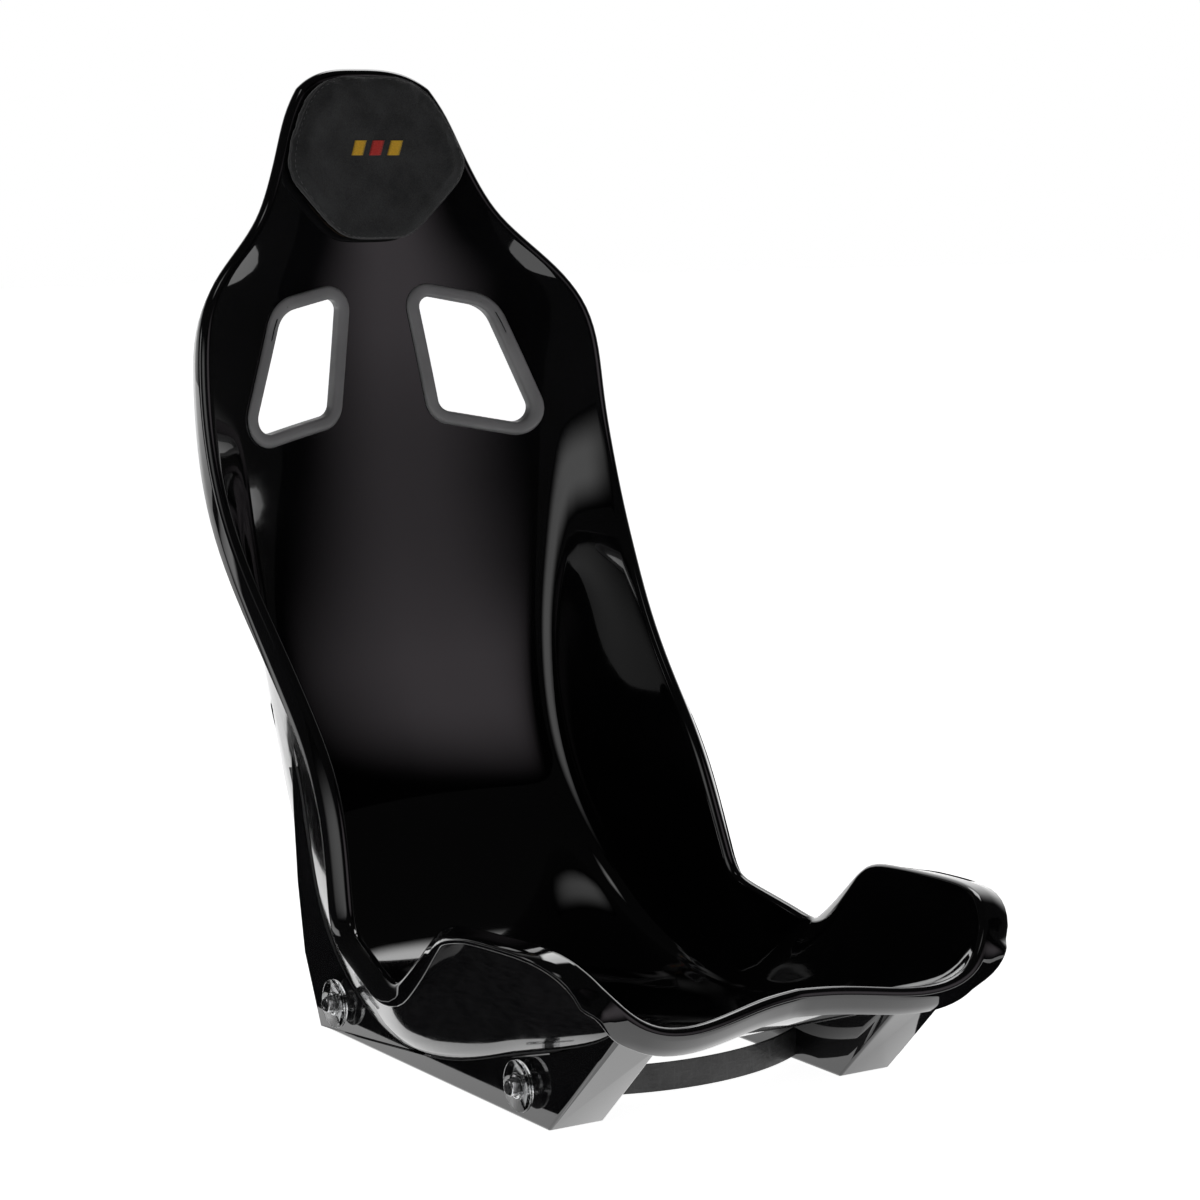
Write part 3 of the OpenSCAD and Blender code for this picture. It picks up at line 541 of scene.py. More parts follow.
def make_flowcoat(name, colour, dark, light):
    mat, tree, shader = finish_of(name, colour, 0.1, IOR=1.5, Coat_Weight=1.0,
                                  Coat_Roughness=0.04)
    strands = noise(tree, 420.0, 2.0, 0.5, (1, 0.14, 1))
    vary(tree, shader, Base_Color=tint(tree, strands, dark, light),
         Roughness=spread(tree, noise(tree, 40.0, 4.0), 0.06, 0.14))
    ripples = bump(tree, shader, noise(tree, 55.0, 2.0), 0.00006)
    bump(tree, shader, strands, 0.00001, below=ripples)
    return mat


def make_mat_laminate(name, colour):
    mat, tree, shader = finish_of(name, colour, 0.42, IOR=1.5, Coat_Weight=0.25,
                                  Coat_Roughness=0.3)
    strands = [noise(tree, 420.0, 2.0, 0.5, stretch)
               for stretch in ((1, 0.12, 1), (1, 1, 0.12), (0.12, 1, 1))]
    crossed = math_of(tree, "MAXIMUM", math_of(tree, "MAXIMUM", *strands[:2]), strands[2])
    vary(tree, shader, Base_Color=tint(tree, crossed, *shades(colour, 0.55, 2.0), 0.5, 0.78),
         Roughness=spread(tree, noise(tree, 26.0, 4.0), 0.3, 0.55))
    lumps = bump(tree, shader, noise(tree, 60.0, 3.0), 0.0009)
    bump(tree, shader, crossed, 0.0004, below=lumps)
    return mat


gelcoat = make_gelcoat("black_gelcoat", (0.004, 0.004, 0.0045), (0.025, 0.06), 0.00001)
box_paint = make_gelcoat("black_box_gelcoat", (0.005, 0.005, 0.0055), (0.05, 0.11), 0.00003)
flowcoat = make_flowcoat("black_flowcoat", (0.0055, 0.0055, 0.006), (0.004, 0.004, 0.0044),
                         (0.0085, 0.0085, 0.009))
shell.data.materials.append(gelcoat)
shell.data.materials.append(flowcoat)
print("finishes", gelcoat.name, box_paint.name, flowcoat.name)

# %% Give the shell its finishes
face_count, back_count = len(face_quads), len(back_quads)
shell_key = {tuple(sorted(f)): 1 for f in shell_faces[face_count:face_count + back_count]}
for polygon in shell.data.polygons:
    polygon.material_index = shell_key.get(tuple(sorted(polygon.vertices)), 0)
fit(shell, None, "shell", "seat_shell")
print("back faces", sum(polygon.material_index for polygon in shell.data.polygons), "of",
      len(shell.data.polygons))

# %% [markdown]
# ## Side boxes
# Two hollow laminate boxes are bonded under the shell and carry the side bolts. The CAD boxes
# have the right shape, so their meshes are copied, their flat faces are joined again, and
# the edges that show are rounded as a mould rounds them.
# %% Side boxes
EDGE_R, EDGE_SEGMENTS = 2.2 * MM, 3
FLAT_TURN, SHARP_TURN = math.radians(1.0), math.radians(28)
SHORTEST_EDGE, ACROSS_EDGE = 20 * MM, 40 * MM


def softened(node, name, radius, segments, wanted):
    bm = bmesh.new()
    bm.from_mesh(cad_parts[node].data)
    bmesh.ops.remove_doubles(bm, verts=bm.verts, dist=WELD)
    bmesh.ops.dissolve_limit(bm, angle_limit=FLAT_TURN, verts=bm.verts, edges=bm.edges)
    bm.edges.ensure_lookup_table()
    edges = [e for e in bm.edges if len(e.link_faces) == 2
             and e.calc_face_angle(0) > SHARP_TURN and wanted(e)]
    if edges:
        bmesh.ops.bevel(bm, geom=edges, offset=radius, segments=segments, profile=0.5,
                        affect="EDGES", clamp_overlap=False)
    mesh = bpy.data.meshes.new(name)
    bm.to_mesh(mesh)
    bm.free()
    mesh.shade_smooth()
    mesh.set_sharp_from_angle(angle=math.radians(30))
    obj = bpy.data.objects.new(name, mesh)
    bpy.context.scene.collection.objects.link(obj)
    print(name, "rounded edges", len(edges), "faces", len(mesh.polygons))
    return obj


for side in ("right", "left"):
    node = f"side_box_{side}"
    low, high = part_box(node)
    outer_x = (low.x, high.x)

    def outside(e, outer_x=outer_x):
        mids = (e.verts[0].co + e.verts[1].co) / 2
        on_panel = min(abs(mids.x - outer_x[0]), abs(mids.x - outer_x[1])) < 1e-5
        across_x = abs(e.verts[0].co.x - e.verts[1].co.x) > ACROSS_EDGE
        return (on_panel or across_x) and e.calc_length() > SHORTEST_EDGE
    fit(softened(node, f"box_{side}", EDGE_R, EDGE_SEGMENTS, outside), box_paint, "laminate",
        node)

# %% [markdown]
# ## Harness trims
# A grey moulded rim is pressed into each opening from the front, with a sleeve through the
# laminate, and a flat ring holds it behind. Each is one profile, swept round the opening and
# laid on the shell's curve, so its lip follows the surface all the way round.
# %% Harness trims
TRIM_W, TRIM_H, REST = 12.0, 3.5, 0.45
FRONT = [(0, 0.4), (0.04, 0.66), (0.1, 0.85), (0.25, 0.98), (0.5, 1.0), (0.75, 0.95), (0.88, 0.82),
         (0.95, 0.62), (1.0, 0.3)]
front_profile = [(w * TRIM_W, h * TRIM_H) for w, h in FRONT]
front_profile += [(TRIM_W, REST), (SLEEVE, REST), (SLEEVE, -SHELL_T - 2.8), (0, -SHELL_T - 2.8)]
rear_profile = [(SLEEVE + 0.2, -SHELL_T - 0.8), (TRIM_W, -SHELL_T - 0.8), (TRIM_W, -SHELL_T - 1.9),
                (TRIM_W - 0.5, -SHELL_T - 2.5), (TRIM_W - 1.3, -SHELL_T - 2.8),
                (SLEEVE + 0.2, -SHELL_T - 2.8)]


def make_trim_grey():
    mat, tree, shader = finish_of("trim_grey", (0.2, 0.2, 0.204), 0.34, Specular_IOR_Level=0.7)
    vary(tree, shader, Roughness=spread(tree, noise(tree, 180.0, 4.0), 0.3, 0.44),
         Base_Color=tint(tree, noise(tree, 14.0, 4.0), (0.17, 0.17, 0.174), (0.23, 0.23, 0.234)))
    bump(tree, shader, noise(tree, 1600.0, 2.0), 0.00006)
    return mat


trim_grey = make_trim_grey()
for side, sign in (("right", -1), ("left", 1)):
    for part, profile in (("front", front_profile), ("rear", rear_profile)):
        loops = []
        for out, lift in profile:
            outline = opening(out)
            loop = back_point(outline[:, 0], outline[:, 1], lift)
            loops.append(placed(loop * [sign, 1, 1]))
        points, faces = loft(loops, ring=True, tube=True)
        fit(piece(f"trim_{part}_{side}", points, faces, crease=48), trim_grey, "trim",
            f"harness_trim_{part}_{side}")
print("trim loops", len(loops), "of", len(loops[0]), "points")

# %% [markdown]
# ## Suede cover
# The head pad is foam on a board, wrapped in suede that is pulled tight and seamed at the
# edge. The cover starts as a slightly smaller closed form with even small faces, a cloth
# simulation then blows it up against its own stitching, and its back is pressed flat again
# where it lies on the shell.
# %% Pad outline
PAD_LINE = np.array([[0, 645], [26, 645], [43, 652], [82, 693], [92, 711], [86, 735], [75, 758],
                     [61, 780], [38, 794], [0, 794.]])
PAD_MID = np.array([0, 719.])
PAD_BACK, PAD_FRONT, FOAM_T = 1.75, 15.55, 9.0
DOME = [(1.0, 0.45), (0.994, 0.66), (0.975, 0.8), (0.93, 0.88), (0.75, 0.95), (0.5, 0.98),
        (0.25, 1.0)]


def pad_outline(n=48):
    half_line = spline(PAD_LINE, np.linspace(0, len(PAD_LINE) - 1, n + 1)) - PAD_MID
    return np.concatenate([half_line, half_line[-2:0:-1] * [-1, 1]])


def pad_point(flat, lift):
    return back_point(flat[..., 0] + PAD_MID[0], flat[..., 1] + PAD_MID[1], lift)


outline = pad_outline()
print("pad outline", len(outline), "points, width and height", np.ptp(outline, axis=0).round(1))

# %% Cloth on the pad
SHRINK, SINK, CAP = 0.992, 0.3, 3.0 * MM
VOXEL, PRESSURE = 4.0 * MM, 4.0


def inflate(obj, pressure, cap, frames=20):
    """Cloth with air pressure and no gravity; no point moves further than cap."""
    start = np.array([v.co for v in obj.data.vertices])
    cloth = obj.modifiers.new("cloth", "CLOTH")
    cloth.settings.use_pressure = True
    cloth.settings.uniform_pressure_force = pressure
    cloth.settings.effector_weights.gravity = 0.0
    scene = bpy.context.scene
    for number in range(1, frames + 1):
        scene.frame_set(number)
    shaped = obj.evaluated_get(bpy.context.evaluated_depsgraph_get())
    moved = np.array([v.co for v in shaped.data.vertices])
    obj.modifiers.remove(cloth)
    scene.frame_set(1)
    step = moved - start
    length = np.linalg.norm(step, axis=1, keepdims=True)
    final = start + step * np.minimum(1.0, cap / np.maximum(length, 1e-9))
    obj.data.vertices.foreach_set("co", final.ravel())
    obj.data.update()
    return float(length.max())


rings = [(s, PAD_BACK) for s in (0.02, 0.3, 0.6, 0.9, 0.985)]
rings += [(1.0, PAD_BACK + 1.5), (1.0, (PAD_BACK + PAD_FRONT - FOAM_T * 0.55) / 2)]
rings += [(s, PAD_FRONT + (d - 1) * FOAM_T) for s, d in DOME] + [(0.02, PAD_FRONT)]
sunk = [(s, max(lift - SINK * (lift > PAD_BACK + 3), PAD_BACK)) for s, lift in rings]
loops = [placed(pad_point(outline * (s * SHRINK), lift)) for s, lift in sunk]
points, faces = loft(loops, ring=True, caps=True)
cover = piece("suede_cover", points, faces, crease=180)
remesh = cover.modifiers.new("even_faces", "REMESH")
remesh.mode, remesh.voxel_size, remesh.use_smooth_shade = "VOXEL", VOXEL, True
even = bpy.data.meshes.new_from_object(cover.evaluated_get(bpy.context.evaluated_depsgraph_get()))
cover.modifiers.clear()
cover.data = even
print("cloth moved the cover up to (mm)", round(inflate(cover, PRESSURE, CAP) / MM, 2))
drawn = np.array([v.co for v in cover.data.vertices]) / MM + [0, ORIGIN_Y, 0]
lift = back_point(drawn[:, 0], drawn[:, 2])[:, 1] - drawn[:, 1]
lift = np.clip(lift, PAD_BACK, PAD_FRONT + 0.6)
drawn[:, 1] = back_point(drawn[:, 0], drawn[:, 2])[:, 1] - lift
cover.data.vertices.foreach_set("co", placed(drawn).ravel())
smooth = cover.modifiers.new("settle", "SMOOTH")
smooth.factor, smooth.iterations = 0.5, 2
refine = cover.modifiers.new("refine", "SUBSURF")
refine.levels = refine.render_levels = 1
final = bpy.data.meshes.new_from_object(cover.evaluated_get(bpy.context.evaluated_depsgraph_get()))
cover.modifiers.clear()
cover.data = final
final.shade_smooth()
print("cover", len(final.vertices), "points, lift", lift.min().round(2), "to", lift.max().round(2))

# %% [markdown]
# ## Suede finish
# Suede is short nap on hide: matt, with a soft sheen at grazing angles and darker or lighter
# patches where it was brushed. Three sizes of noise give the patches, the grain and the nap.
# %% Suede


def make_plain(name, dark, light, rough, scale, depth, metal=0.0, stretch=(1, 1, 1)):
    mat, tree, shader = finish_of(name, light, rough[0], metal)
    grain = noise(tree, scale, 5.0, 0.6, stretch)
    vary(tree, shader, Base_Color=tint(tree, grain, dark, light, 0.3, 0.7),
         Roughness=spread(tree, noise(tree, scale * 0.3, 3.0), *rough))
    bump(tree, shader, grain, depth)
    return mat


def make_suede(name, dark, light):
    mat, tree, shader = finish_of(name, light, 0.92, Specular_IOR_Level=0.25, Sheen_Weight=0.35,
                                  Sheen_Roughness=0.45)
    patches, grain = noise(tree, 38.0, 5.0, 0.6), noise(tree, 900.0, 3.0, 0.6)
    mixed = math_of(tree, "MULTIPLY_ADD", grain, 0.45, math_of(tree, "MULTIPLY", patches, 0.55))
    vary(tree, shader, Base_Color=tint(tree, mixed, dark, light, 0.38, 0.62),
         Roughness=spread(tree, patches, 0.85, 0.97))
    coarse = bump(tree, shader, grain, 0.00035, 0.8)
    bump(tree, shader, noise(tree, 3200.0, 2.0), 0.00015, 0.8, below=coarse)
    return mat


foam = make_plain("pad_foam", (0.03, 0.03, 0.031), (0.06, 0.06, 0.062), (0.85, 0.95), 700.0,
                  0.0008)
suede = make_suede("charcoal_suede", (0.014, 0.0145, 0.015), (0.036, 0.037, 0.038))
fit(cover, suede, "suede", "headrest_cover")
FOAM_BACK, FOAM_RISE, CORE_SHARE = 5.05, FOAM_T - 1.2, 0.9
core_rings = [(s * CORE_SHARE, FOAM_BACK) for s in (0.02, 0.3, 0.6, 0.93)]
core_rings += [(s * CORE_SHARE, FOAM_BACK + d * FOAM_RISE) for s, d in DOME + [(0.02, 1.0)]]
core_loops = [placed(pad_point(outline * s, lift_at)) for s, lift_at in core_rings]
core = piece("foam_core", *loft(core_loops, ring=True, caps=True), crease=40)
fit(core, foam, "foam", "headrest_foam")
print("foam core rings", len(core_rings))

# %% [markdown]
# ## Seam and embroidery
# A thin piped seam runs round the pad where the front panel meets the side band, with a row
# of stitches just inside it. The plain stripes are satin stitch: rows of glossy thread lying
# side by side. Both are laid on the simulated cover by dropping points onto its surface.
# %% Seam, stitches and stripes
skin_tree = BVHTree.FromPolygons([v.co for v in final.vertices],
                                 [tuple(p.vertices) for p in final.polygons])


def onto_pad(flat, proud=0.0):
    """Points of the pad's outline plane dropped onto the cover from the front."""
    out = []
    for x, z in np.asarray(flat) + PAD_MID:
        start = Vector(placed([x, 0, z]))
        start.y = cad_low.y
        hit, normal_at, _, _ = skin_tree.ray_cast(start, Vector((0, 1, 0)))
        if hit is None:
            beside = Vector(placed(back_point(x, z, PAD_FRONT - 5)))
            hit, normal_at, _, _ = skin_tree.find_nearest(beside)
        out.append(hit + normal_at * proud * MM)
    return np.array([tuple(p) for p in out])


def cord_of(path, radius, sides=8, closed=False, taper=0.0):
    path = np.asarray(path)
    steps = np.roll(path, -1, 0) - np.roll(path, 1, 0) if closed else np.gradient(path, axis=0)
    ahead = unit(steps)
    a = unit(np.cross(ahead, [0.02, 1.0, 0.03]))
    b = np.cross(ahead, a)
    ends = np.ones(len(path)) if closed else 1 - taper * abs(np.linspace(-1, 1, len(path))) ** 4
    ring = np.linspace(0, 2 * math.pi, sides, endpoint=False)
    return [p + radius * e * (np.cos(ring)[:, None] * a[k] + np.sin(ring)[:, None] * b[k])
            for k, (p, e) in enumerate(zip(path, ends))]


def joined(parts):
    points, faces, base = [], [], 0
    for p, f in parts:
        points.append(p)
        faces += [tuple(q + base for q in face_ids) for face_ids in f]
        base += len(p)
    return np.concatenate(points), faces


PIPING_R, PIPING_SHARE, STITCH_R, STITCH_SHARE, SETTLE = 0.55 * MM, 0.972, 0.22 * MM, 0.93, 6
seam_line = onto_pad(pad_outline(120) * PIPING_SHARE, 0.15)
for _ in range(SETTLE):
    seam_line = (np.roll(seam_line, 1, 0) + seam_line * 2 + np.roll(seam_line, -1, 0)) / 4
piping = cord_of(seam_line, PIPING_R, closed=True)
seam = piece("pad_piping", *loft(piping, ring=True, tube=True), crease=180)
stitch_line = onto_pad(pad_outline(150) * STITCH_SHARE, 0.05)
stitches = [loft(cord_of(stitch_line[k:k + 3], STITCH_R, 6, taper=0.5), ring=True, caps=True)
            for k in range(0, len(stitch_line) - 3, 4)]
stitching = piece("pad_stitches", *joined(stitches), crease=180)
STRIPE_W, STRIPE_H, STEP, SLANT, RAISE = 12.0, 13.0, 18.0, 0.35, 3.0
THREAD = 0.28


def stripe(shift):
    rows_of = []
    for z in np.arange(THREAD, STRIPE_H, 2 * THREAD * 0.92):
        xs = np.linspace(-STRIPE_W / 2, STRIPE_W / 2, 9) + shift + SLANT * z
        crown = 0.18 + 0.32 * np.sqrt(np.maximum(1 - np.linspace(-1, 1, 9) ** 2, 0))
        line = onto_pad(np.stack([xs, np.full(9, RAISE + z)], 1))
        line[:, 1] -= crown * MM
        rows_of.append(loft(cord_of(line, THREAD * MM, 6, taper=0.6), ring=True, caps=True))
    return joined(rows_of)


def make_thread(name, colour):
    mat, tree, shader = finish_of(name, colour, 0.45, Sheen_Weight=0.2, Sheen_Roughness=0.4)
    vary(tree, shader, Base_Color=tint(tree, noise(tree, 900.0, 3.0), *shades(colour, 0.8, 1.0)))
    bump(tree, shader, noise(tree, 5200.0, 2.0, 0.5, (1, 1, 0.3)), 0.00006)
    return mat


yellow = make_thread("thread_yellow", (0.83, 0.50, 0.02))
red = make_thread("thread_red", (0.62, 0.03, 0.02))
grey = make_thread("thread_grey", (0.09, 0.09, 0.092))
fit(seam, make_suede("piping_suede", (0.03, 0.03, 0.031), (0.07, 0.07, 0.072)), "suede")
fit(stitching, grey, "suede")
for name, shift, thread in (("left", STEP, yellow), ("middle", 0, red), ("right", -STEP, yellow)):
    band = piece(f"stripe_{name}", *stripe(shift), crease=180)
    fit(band, thread, "badge", *(["headrest_badge"] if name == "middle" else []))
print("stitches", len(stitches))

# %% [markdown]
# ## Bolts and clear discs
# Each side carries two socket-head bolts. A clear plastic disc and a hexagonal spacer sit
# under every head, so that a bracket can be clamped. Turned parts are drawn as a profile
# spun round the bolt's axis; the head gets its knurl and its hexagon socket as real shape.
# %% Turned parts
HEAD_R, HEAD_H, SOCKET_DEEP, SOCKET_AF = 6.5, 8.0, 3.6, 5.98
SHANK_R, SHANK_L = 4.0, 35.0
AROUND, THREADS, PITCH = 144, 10, 1.25
turn_angles = np.linspace(0, 2 * math.pi, AROUND, endpoint=False)
circle = np.stack([np.cos(turn_angles), np.sin(turn_angles)], 1)
hex_reach = SOCKET_AF / 2 / np.cos((turn_angles + math.pi / 6) % (math.pi / 3) - math.pi / 6)


def ring_at(radius, z):
    radius = np.broadcast_to(radius, AROUND)
    return np.column_stack([circle * radius[:, None], np.full(AROUND, float(z))])


def on_side(points, node, sign, base_z):
    """Turned points (axis +Z, millimetres) onto a bolt's own place and outward direction."""
    low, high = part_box(node)
    mid = (low + high) / 2
    outer = high.x if sign > 0 else low.x
    x = outer + sign * (points[:, 2] - base_z) * MM
    return np.column_stack([x, mid.y + points[:, 0] * MM, mid.z + points[:, 1] * MM])


def bolt_rings():
    knurl = HEAD_R - 0.16 + 0.16 * np.where(np.arange(AROUND) % 2 == 0, 1, -1)
    shank = [(0.4, -SHANK_L), (SHANK_R - 0.6, -SHANK_L), (SHANK_R, -SHANK_L + 0.7)]
    for k in range(THREADS):
        turn_z = -SHANK_L + PITCH * k
        shank += [(SHANK_R, turn_z + 1.2), (SHANK_R - 0.55, turn_z + 1.8)]
    shank += [(SHANK_R, -SHANK_L + 14), (SHANK_R, 0)]
    head = [(HEAD_R - 0.7, 0.0), (HEAD_R - 0.3, 0.35), (knurl, 0.8), (knurl, HEAD_H - 1.7),
            (HEAD_R - 0.35, HEAD_H - 1.3), (HEAD_R - 0.45, HEAD_H - 0.6),
            (HEAD_R - 1.1, HEAD_H - 0.08), (HEAD_R - 1.4, HEAD_H)]
    socket = [(hex_reach + 0.45, HEAD_H), (hex_reach + 0.02, HEAD_H - 0.35),
              (hex_reach, HEAD_H - SOCKET_DEEP), (0.3, HEAD_H - SOCKET_DEEP)]
    return [ring_at(radius, z) for radius, z in shank + head + socket]


DISC_R, DISC_T, BORE_R = 20.0, 3.0, 4.2
RING_R, RING_W, RING_H = 10.5, 2.0, 0.8
RING_IN, RING_TOP = RING_R - RING_W, DISC_T + RING_H
disc_profile = [(BORE_R, 0.25), (BORE_R + 0.3, 0), (DISC_R - 0.5, 0), (DISC_R - 0.12, 0.15),
                (DISC_R, 0.5), (DISC_R, DISC_T - 0.5), (DISC_R - 0.12, DISC_T - 0.15),
                (DISC_R - 0.5, DISC_T), (RING_R + 0.2, DISC_T), (RING_R, DISC_T + 0.15),
                (RING_R - 0.15, RING_TOP - 0.15), (RING_R - 0.4, RING_TOP),
                (RING_IN + 0.4, RING_TOP), (RING_IN + 0.15, RING_TOP - 0.15),
                (RING_IN, DISC_T + 0.1), (RING_IN - 0.2, DISC_T), (BORE_R + 0.3, DISC_T),
                (BORE_R, DISC_T - 0.25)]
print("bolt rings", len(bolt_rings()), "disc rings", len(disc_profile))

# %% [markdown]
# ## Steel, clear plastic and the hidden metals
# Plated steel is a bright metal whose roughness changes in fine turning lines. The discs are
# clear polycarbonate: a glass shader with a plastic's refraction and faint handling marks.
# %% Metals and clear plastic


def make_metal(name, dark, light, rough, grain, depth=0.00003):
    mat, tree, shader = finish_of(name, light, rough[0], 1.0)
    lines = noise(tree, grain, 3.0, 0.6, (14, 1, 1))
    vary(tree, shader, Base_Color=tint(tree, noise(tree, 160.0, 4.0), dark, light),
         Roughness=spread(tree, lines, *rough))
    bump(tree, shader, lines, depth, 0.6)
    return mat


def make_clear(name, colour):
    mat, tree, shader = finish_of(name, colour, 0.03, 0.0, Transmission_Weight=1.0, IOR=1.585)
    vary(tree, shader, Roughness=spread(tree, noise(tree, 420.0, 5.0, 0.7), 0.02, 0.09),
         Base_Color=tint(tree, noise(tree, 60.0), (0.93, 0.95, 0.955), (0.98, 0.985, 0.99)))
    return mat


steel = make_metal("plated_steel", (0.52, 0.52, 0.53), (0.78, 0.78, 0.79), (0.14, 0.3), 320.0)
brass = make_metal("brass", (0.55, 0.38, 0.14), (0.76, 0.56, 0.24), (0.22, 0.4), 260.0)
washer_steel = make_metal("zinc_washer", (0.45, 0.46, 0.48), (0.62, 0.64, 0.66), (0.3, 0.5), 180.0)
clear = make_clear("clear_polycarbonate", (0.96, 0.975, 0.98))
for side, sign in (("right", -1), ("left", 1)):
    for end in ("front", "rear"):
        node = f"cap_screw_{end}_{side}"
        points, faces = loft(bolt_rings(), ring=True, caps=True)
        bolt = piece(f"bolt_{end}_{side}", on_side(points, node, sign, HEAD_H), faces, crease=32)
        fit(bolt, steel, "steel", node)
        node = f"clear_disc_{end}_{side}"
        points, faces = loft([ring_at(r, z) for r, z in disc_profile], ring=True, tube=True)
        disc = piece(f"disc_{end}_{side}", on_side(points, node, sign, RING_TOP), faces, crease=40)
        fit(disc, clear, "clear_plastic", node)
print("bolts and discs made")

# %% [markdown]
# ## Pieces kept from the CAD
# Spacers, inserts, washers, the cross member, the bonding beads and the layers under the pad
# already have their real shape, so they keep it and only get a finish. Most are hidden.
# %% Other finishes
cross_laminate = make_mat_laminate("black_laminate", (0.014, 0.014, 0.0145))
adhesive = make_plain("bonding_paste", (0.02, 0.02, 0.021), (0.035, 0.035, 0.036), (0.5, 0.7),
                      90.0, 0.0006)
plywood = make_plain("plywood", (0.36, 0.22, 0.11), (0.55, 0.38, 0.2), (0.5, 0.7), 60.0, 0.0003,
                     stretch=(0.2, 1, 4))
hooks = make_plain("hook_and_loop", (0.008, 0.008, 0.008), (0.03, 0.03, 0.03), (0.8, 0.95),
                   1500.0, 0.0008)
KEPT = {"cross_member": (cross_laminate, "laminate"), "adhesive_bead": (adhesive, "adhesive"),
        "headrest_board": (plywood, "board"), "hook_and_loop_strips": (hooks, "hook_and_loop"),
        "spacer_nut": (steel, "steel"), "thread_insert": (brass, "brass_insert"),
        "backing_washer": (washer_steel, "washer")}
for name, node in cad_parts.items():
    for start, (mat, slot_name) in KEPT.items():
        if name.startswith(start):
            for held in node.material_slots:
                held.material = mat
print("kept nodes", sum(1 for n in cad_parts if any(n.startswith(k) for k in KEPT)))

# %% [markdown]
# ## Floor and light
# Gloss black has almost no colour of its own: it is drawn by what it mirrors. The studio is a
# pale floor in front of a bright backdrop, and the rest of the room stays dark. Soft boxes
# stand where the shell mirrors them: a wide one that gives the back its broad sheen, one for
# the far wing, one behind for the edges, and two overhead.
# %% Floor
FLOOR, FLOOR_Z = 14.0, -0.0004


def panel(name, corners, material):
    """A flat sheet of the studio, which isn't part of the seat."""
    mesh = bpy.data.meshes.new(name)
    mesh.from_pydata(corners, [], [(0, 1, 2, 3)])
    mesh.materials.append(material)
    obj = bpy.data.objects.new(name, mesh)
    bpy.context.scene.collection.objects.link(obj)
    return obj


def make_pale():
    mat, tree, shader = finish_of("pale_floor", (0.93, 0.93, 0.93), 0.7, Specular_IOR_Level=0.2,
                                  Emission_Color=(1, 1, 1, 1), Emission_Strength=0.95)
    vary(tree, shader, Base_Color=tint(tree, noise(tree, 1.2, 2.0), (0.92,) * 3, (0.94,) * 3))
    return mat


panel("floor", [(-FLOOR, -FLOOR, FLOOR_Z), (FLOOR, -FLOOR, FLOOR_Z), (FLOOR, FLOOR, FLOOR_Z),
                (-FLOOR, FLOOR, FLOOR_Z)], make_pale())
print("floor", 2 * FLOOR, "m wide")

# %% World
BEHIND_SEAT, DARK, BRIGHT = (0.54, 0.84, -0.1), 0.015, 1.0
world = bpy.data.worlds.new("studio")
bpy.context.scene.world = world
world.use_nodes = True
nodes, links = world.node_tree.nodes, world.node_tree.links
backdrop = nodes["Background"]
backdrop.inputs["Color"].default_value = (1, 1, 1, 1)
coords = nodes.new("ShaderNodeTexCoord")
behind = nodes.new("ShaderNodeVectorMath")
behind.operation = "DOT_PRODUCT"
behind.inputs[1].default_value = BEHIND_SEAT
links.new(coords.outputs["Generated"], behind.inputs[0])
glow = remap(world.node_tree, behind.outputs["Value"], 0.45, 0.9, DARK, BRIGHT, smooth=True)
path = nodes.new("ShaderNodeLightPath")
pick = nodes.new("ShaderNodeMix")
pick.data_type = "FLOAT"
pick.inputs["B"].default_value = BRIGHT
links.new(path.outputs["Is Camera Ray"], pick.inputs["Factor"])
links.new(glow, pick.inputs["A"])
links.new(pick.outputs["Result"], backdrop.inputs["Strength"])
print("backdrop is brightest towards", BEHIND_SEAT)

# %% Soft boxes


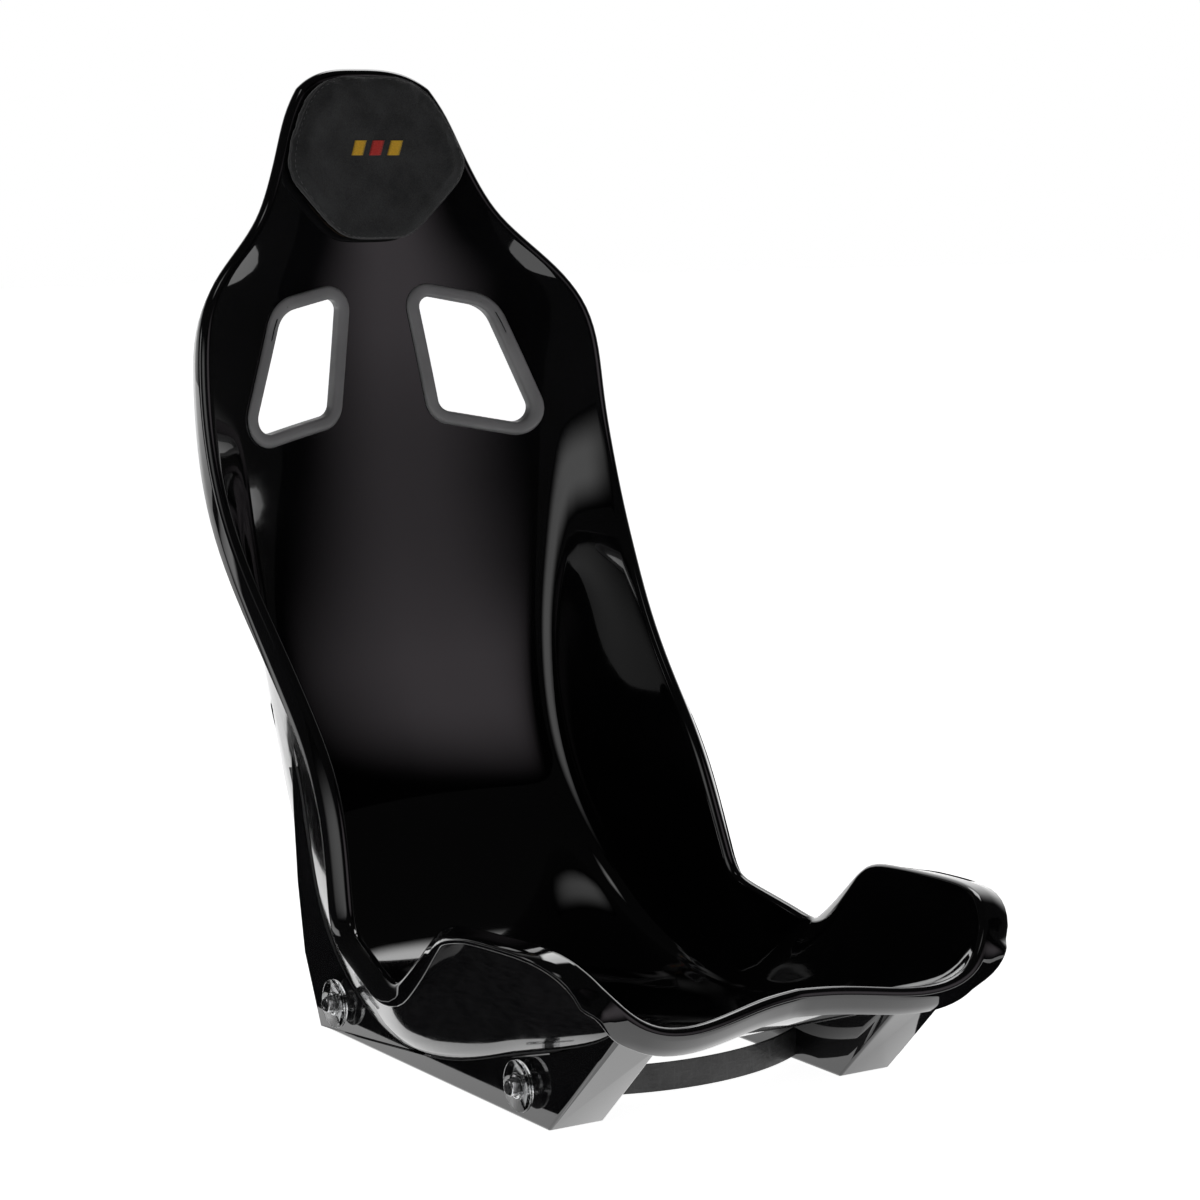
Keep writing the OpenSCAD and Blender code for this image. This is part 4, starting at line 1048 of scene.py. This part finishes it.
def soft_box(name, place, aim, size, glow, edge, colour=(1, 1, 1), taper=0.0):
    """A lit panel whose glow fades towards its edges and narrows towards its top. It lights
    and is mirrored, but the camera doesn't see it."""
    w, h = size[0] / 2, size[1] / 2
    mat = bpy.data.materials.new(name)
    mat.use_nodes = True
    tree = mat.node_tree
    tree.nodes.clear()
    out, lamp = tree.nodes.new("ShaderNodeOutputMaterial"), tree.nodes.new("ShaderNodeEmission")
    where, split = tree.nodes.new("ShaderNodeTexCoord"), tree.nodes.new("ShaderNodeSeparateXYZ")
    tree.links.new(where.outputs["Object"], split.inputs[0])
    narrow = remap(tree, split.outputs["Y"], -h, h, 1.0, 1.0 - taper)
    sideways = math_of(tree, "DIVIDE", math_of(tree, "ABSOLUTE", split.outputs["X"]), narrow)
    upwards = math_of(tree, "ABSOLUTE", split.outputs["Y"])
    fades = [remap(tree, far, reach, reach * (1 - edge), 0.0, 1.0, smooth=True)
             for far, reach in ((sideways, w), (upwards, h))]
    power = math_of(tree, "MULTIPLY", math_of(tree, "MULTIPLY", *fades), glow)
    lamp.inputs["Color"].default_value = (*colour, 1)
    tree.links.new(power, lamp.inputs["Strength"])
    tree.links.new(lamp.outputs[0], out.inputs["Surface"])
    obj = panel(name, [(-w, -h, 0), (w, -h, 0), (w, h, 0), (-w, h, 0)], mat)
    obj.location = place
    obj.rotation_mode = "QUATERNION"
    obj.rotation_quaternion = (Vector(aim) - Vector(place)).to_track_quat("Z", "Y")
    obj.visible_camera = False


SHEEN = (1.0, 0.9, 0.97)
soft_box("sheen_box", (1.2, -2.5, 1.3), (0, 0.2, 0.5), (4.6, 2.7), 0.42, 0.9, SHEEN, taper=0.7)
soft_box("top_box", (1.3, 1.3, 2.6), (0, 0, 0.3), (1.6, 1.2), 3.0, 0.3)
soft_box("fill_box", (-0.5, -0.6, 2.8), (0, 0, 0.3), (0.9, 0.7), 1.3, 0.9)
soft_box("wing_box", (-2.0, -1.2, 1.0), (0.1, 0.0, 0.4), (2.4, 2.0), 0.8, 0.8)
soft_box("edge_box", (-2.0, 1.0, 0.95), (0, 0.1, 0.6), (0.7, 1.3), 1.5, 0.5)

# %% [markdown]
# ## Black flags
# Matt black cards lie on the floor beside the seat, out of the camera's sight, as flags:
# without them the gloss-black sides would mirror the whole pale floor and look grey.
# %% Black flags
card, _, _ = finish_of("black_card", (0.004, 0.004, 0.004), 1.0, Specular_IOR_Level=0.0)
FLAG_IN, FLAG_OUT, FLAG_FRONT, FLAG_REAR, FLAG_Z = 0.185, 1.5, -0.7, 1.5, 0.001
for side, sign in (("right", -1), ("left", 1)):
    corners = [(FLAG_IN, FLAG_FRONT), (FLAG_OUT, FLAG_FRONT), (FLAG_OUT, FLAG_REAR),
               (FLAG_IN, FLAG_REAR)]
    flag = panel(f"flag_{side}", [(sign * x, y, FLAG_Z) for x, y in corners], card)
    flag.visible_camera = flag.visible_shadow = flag.visible_diffuse = False
bpy.context.scene.view_settings.view_transform = "Standard"
print("flags reach", FLAG_OUT, "m out from the middle")
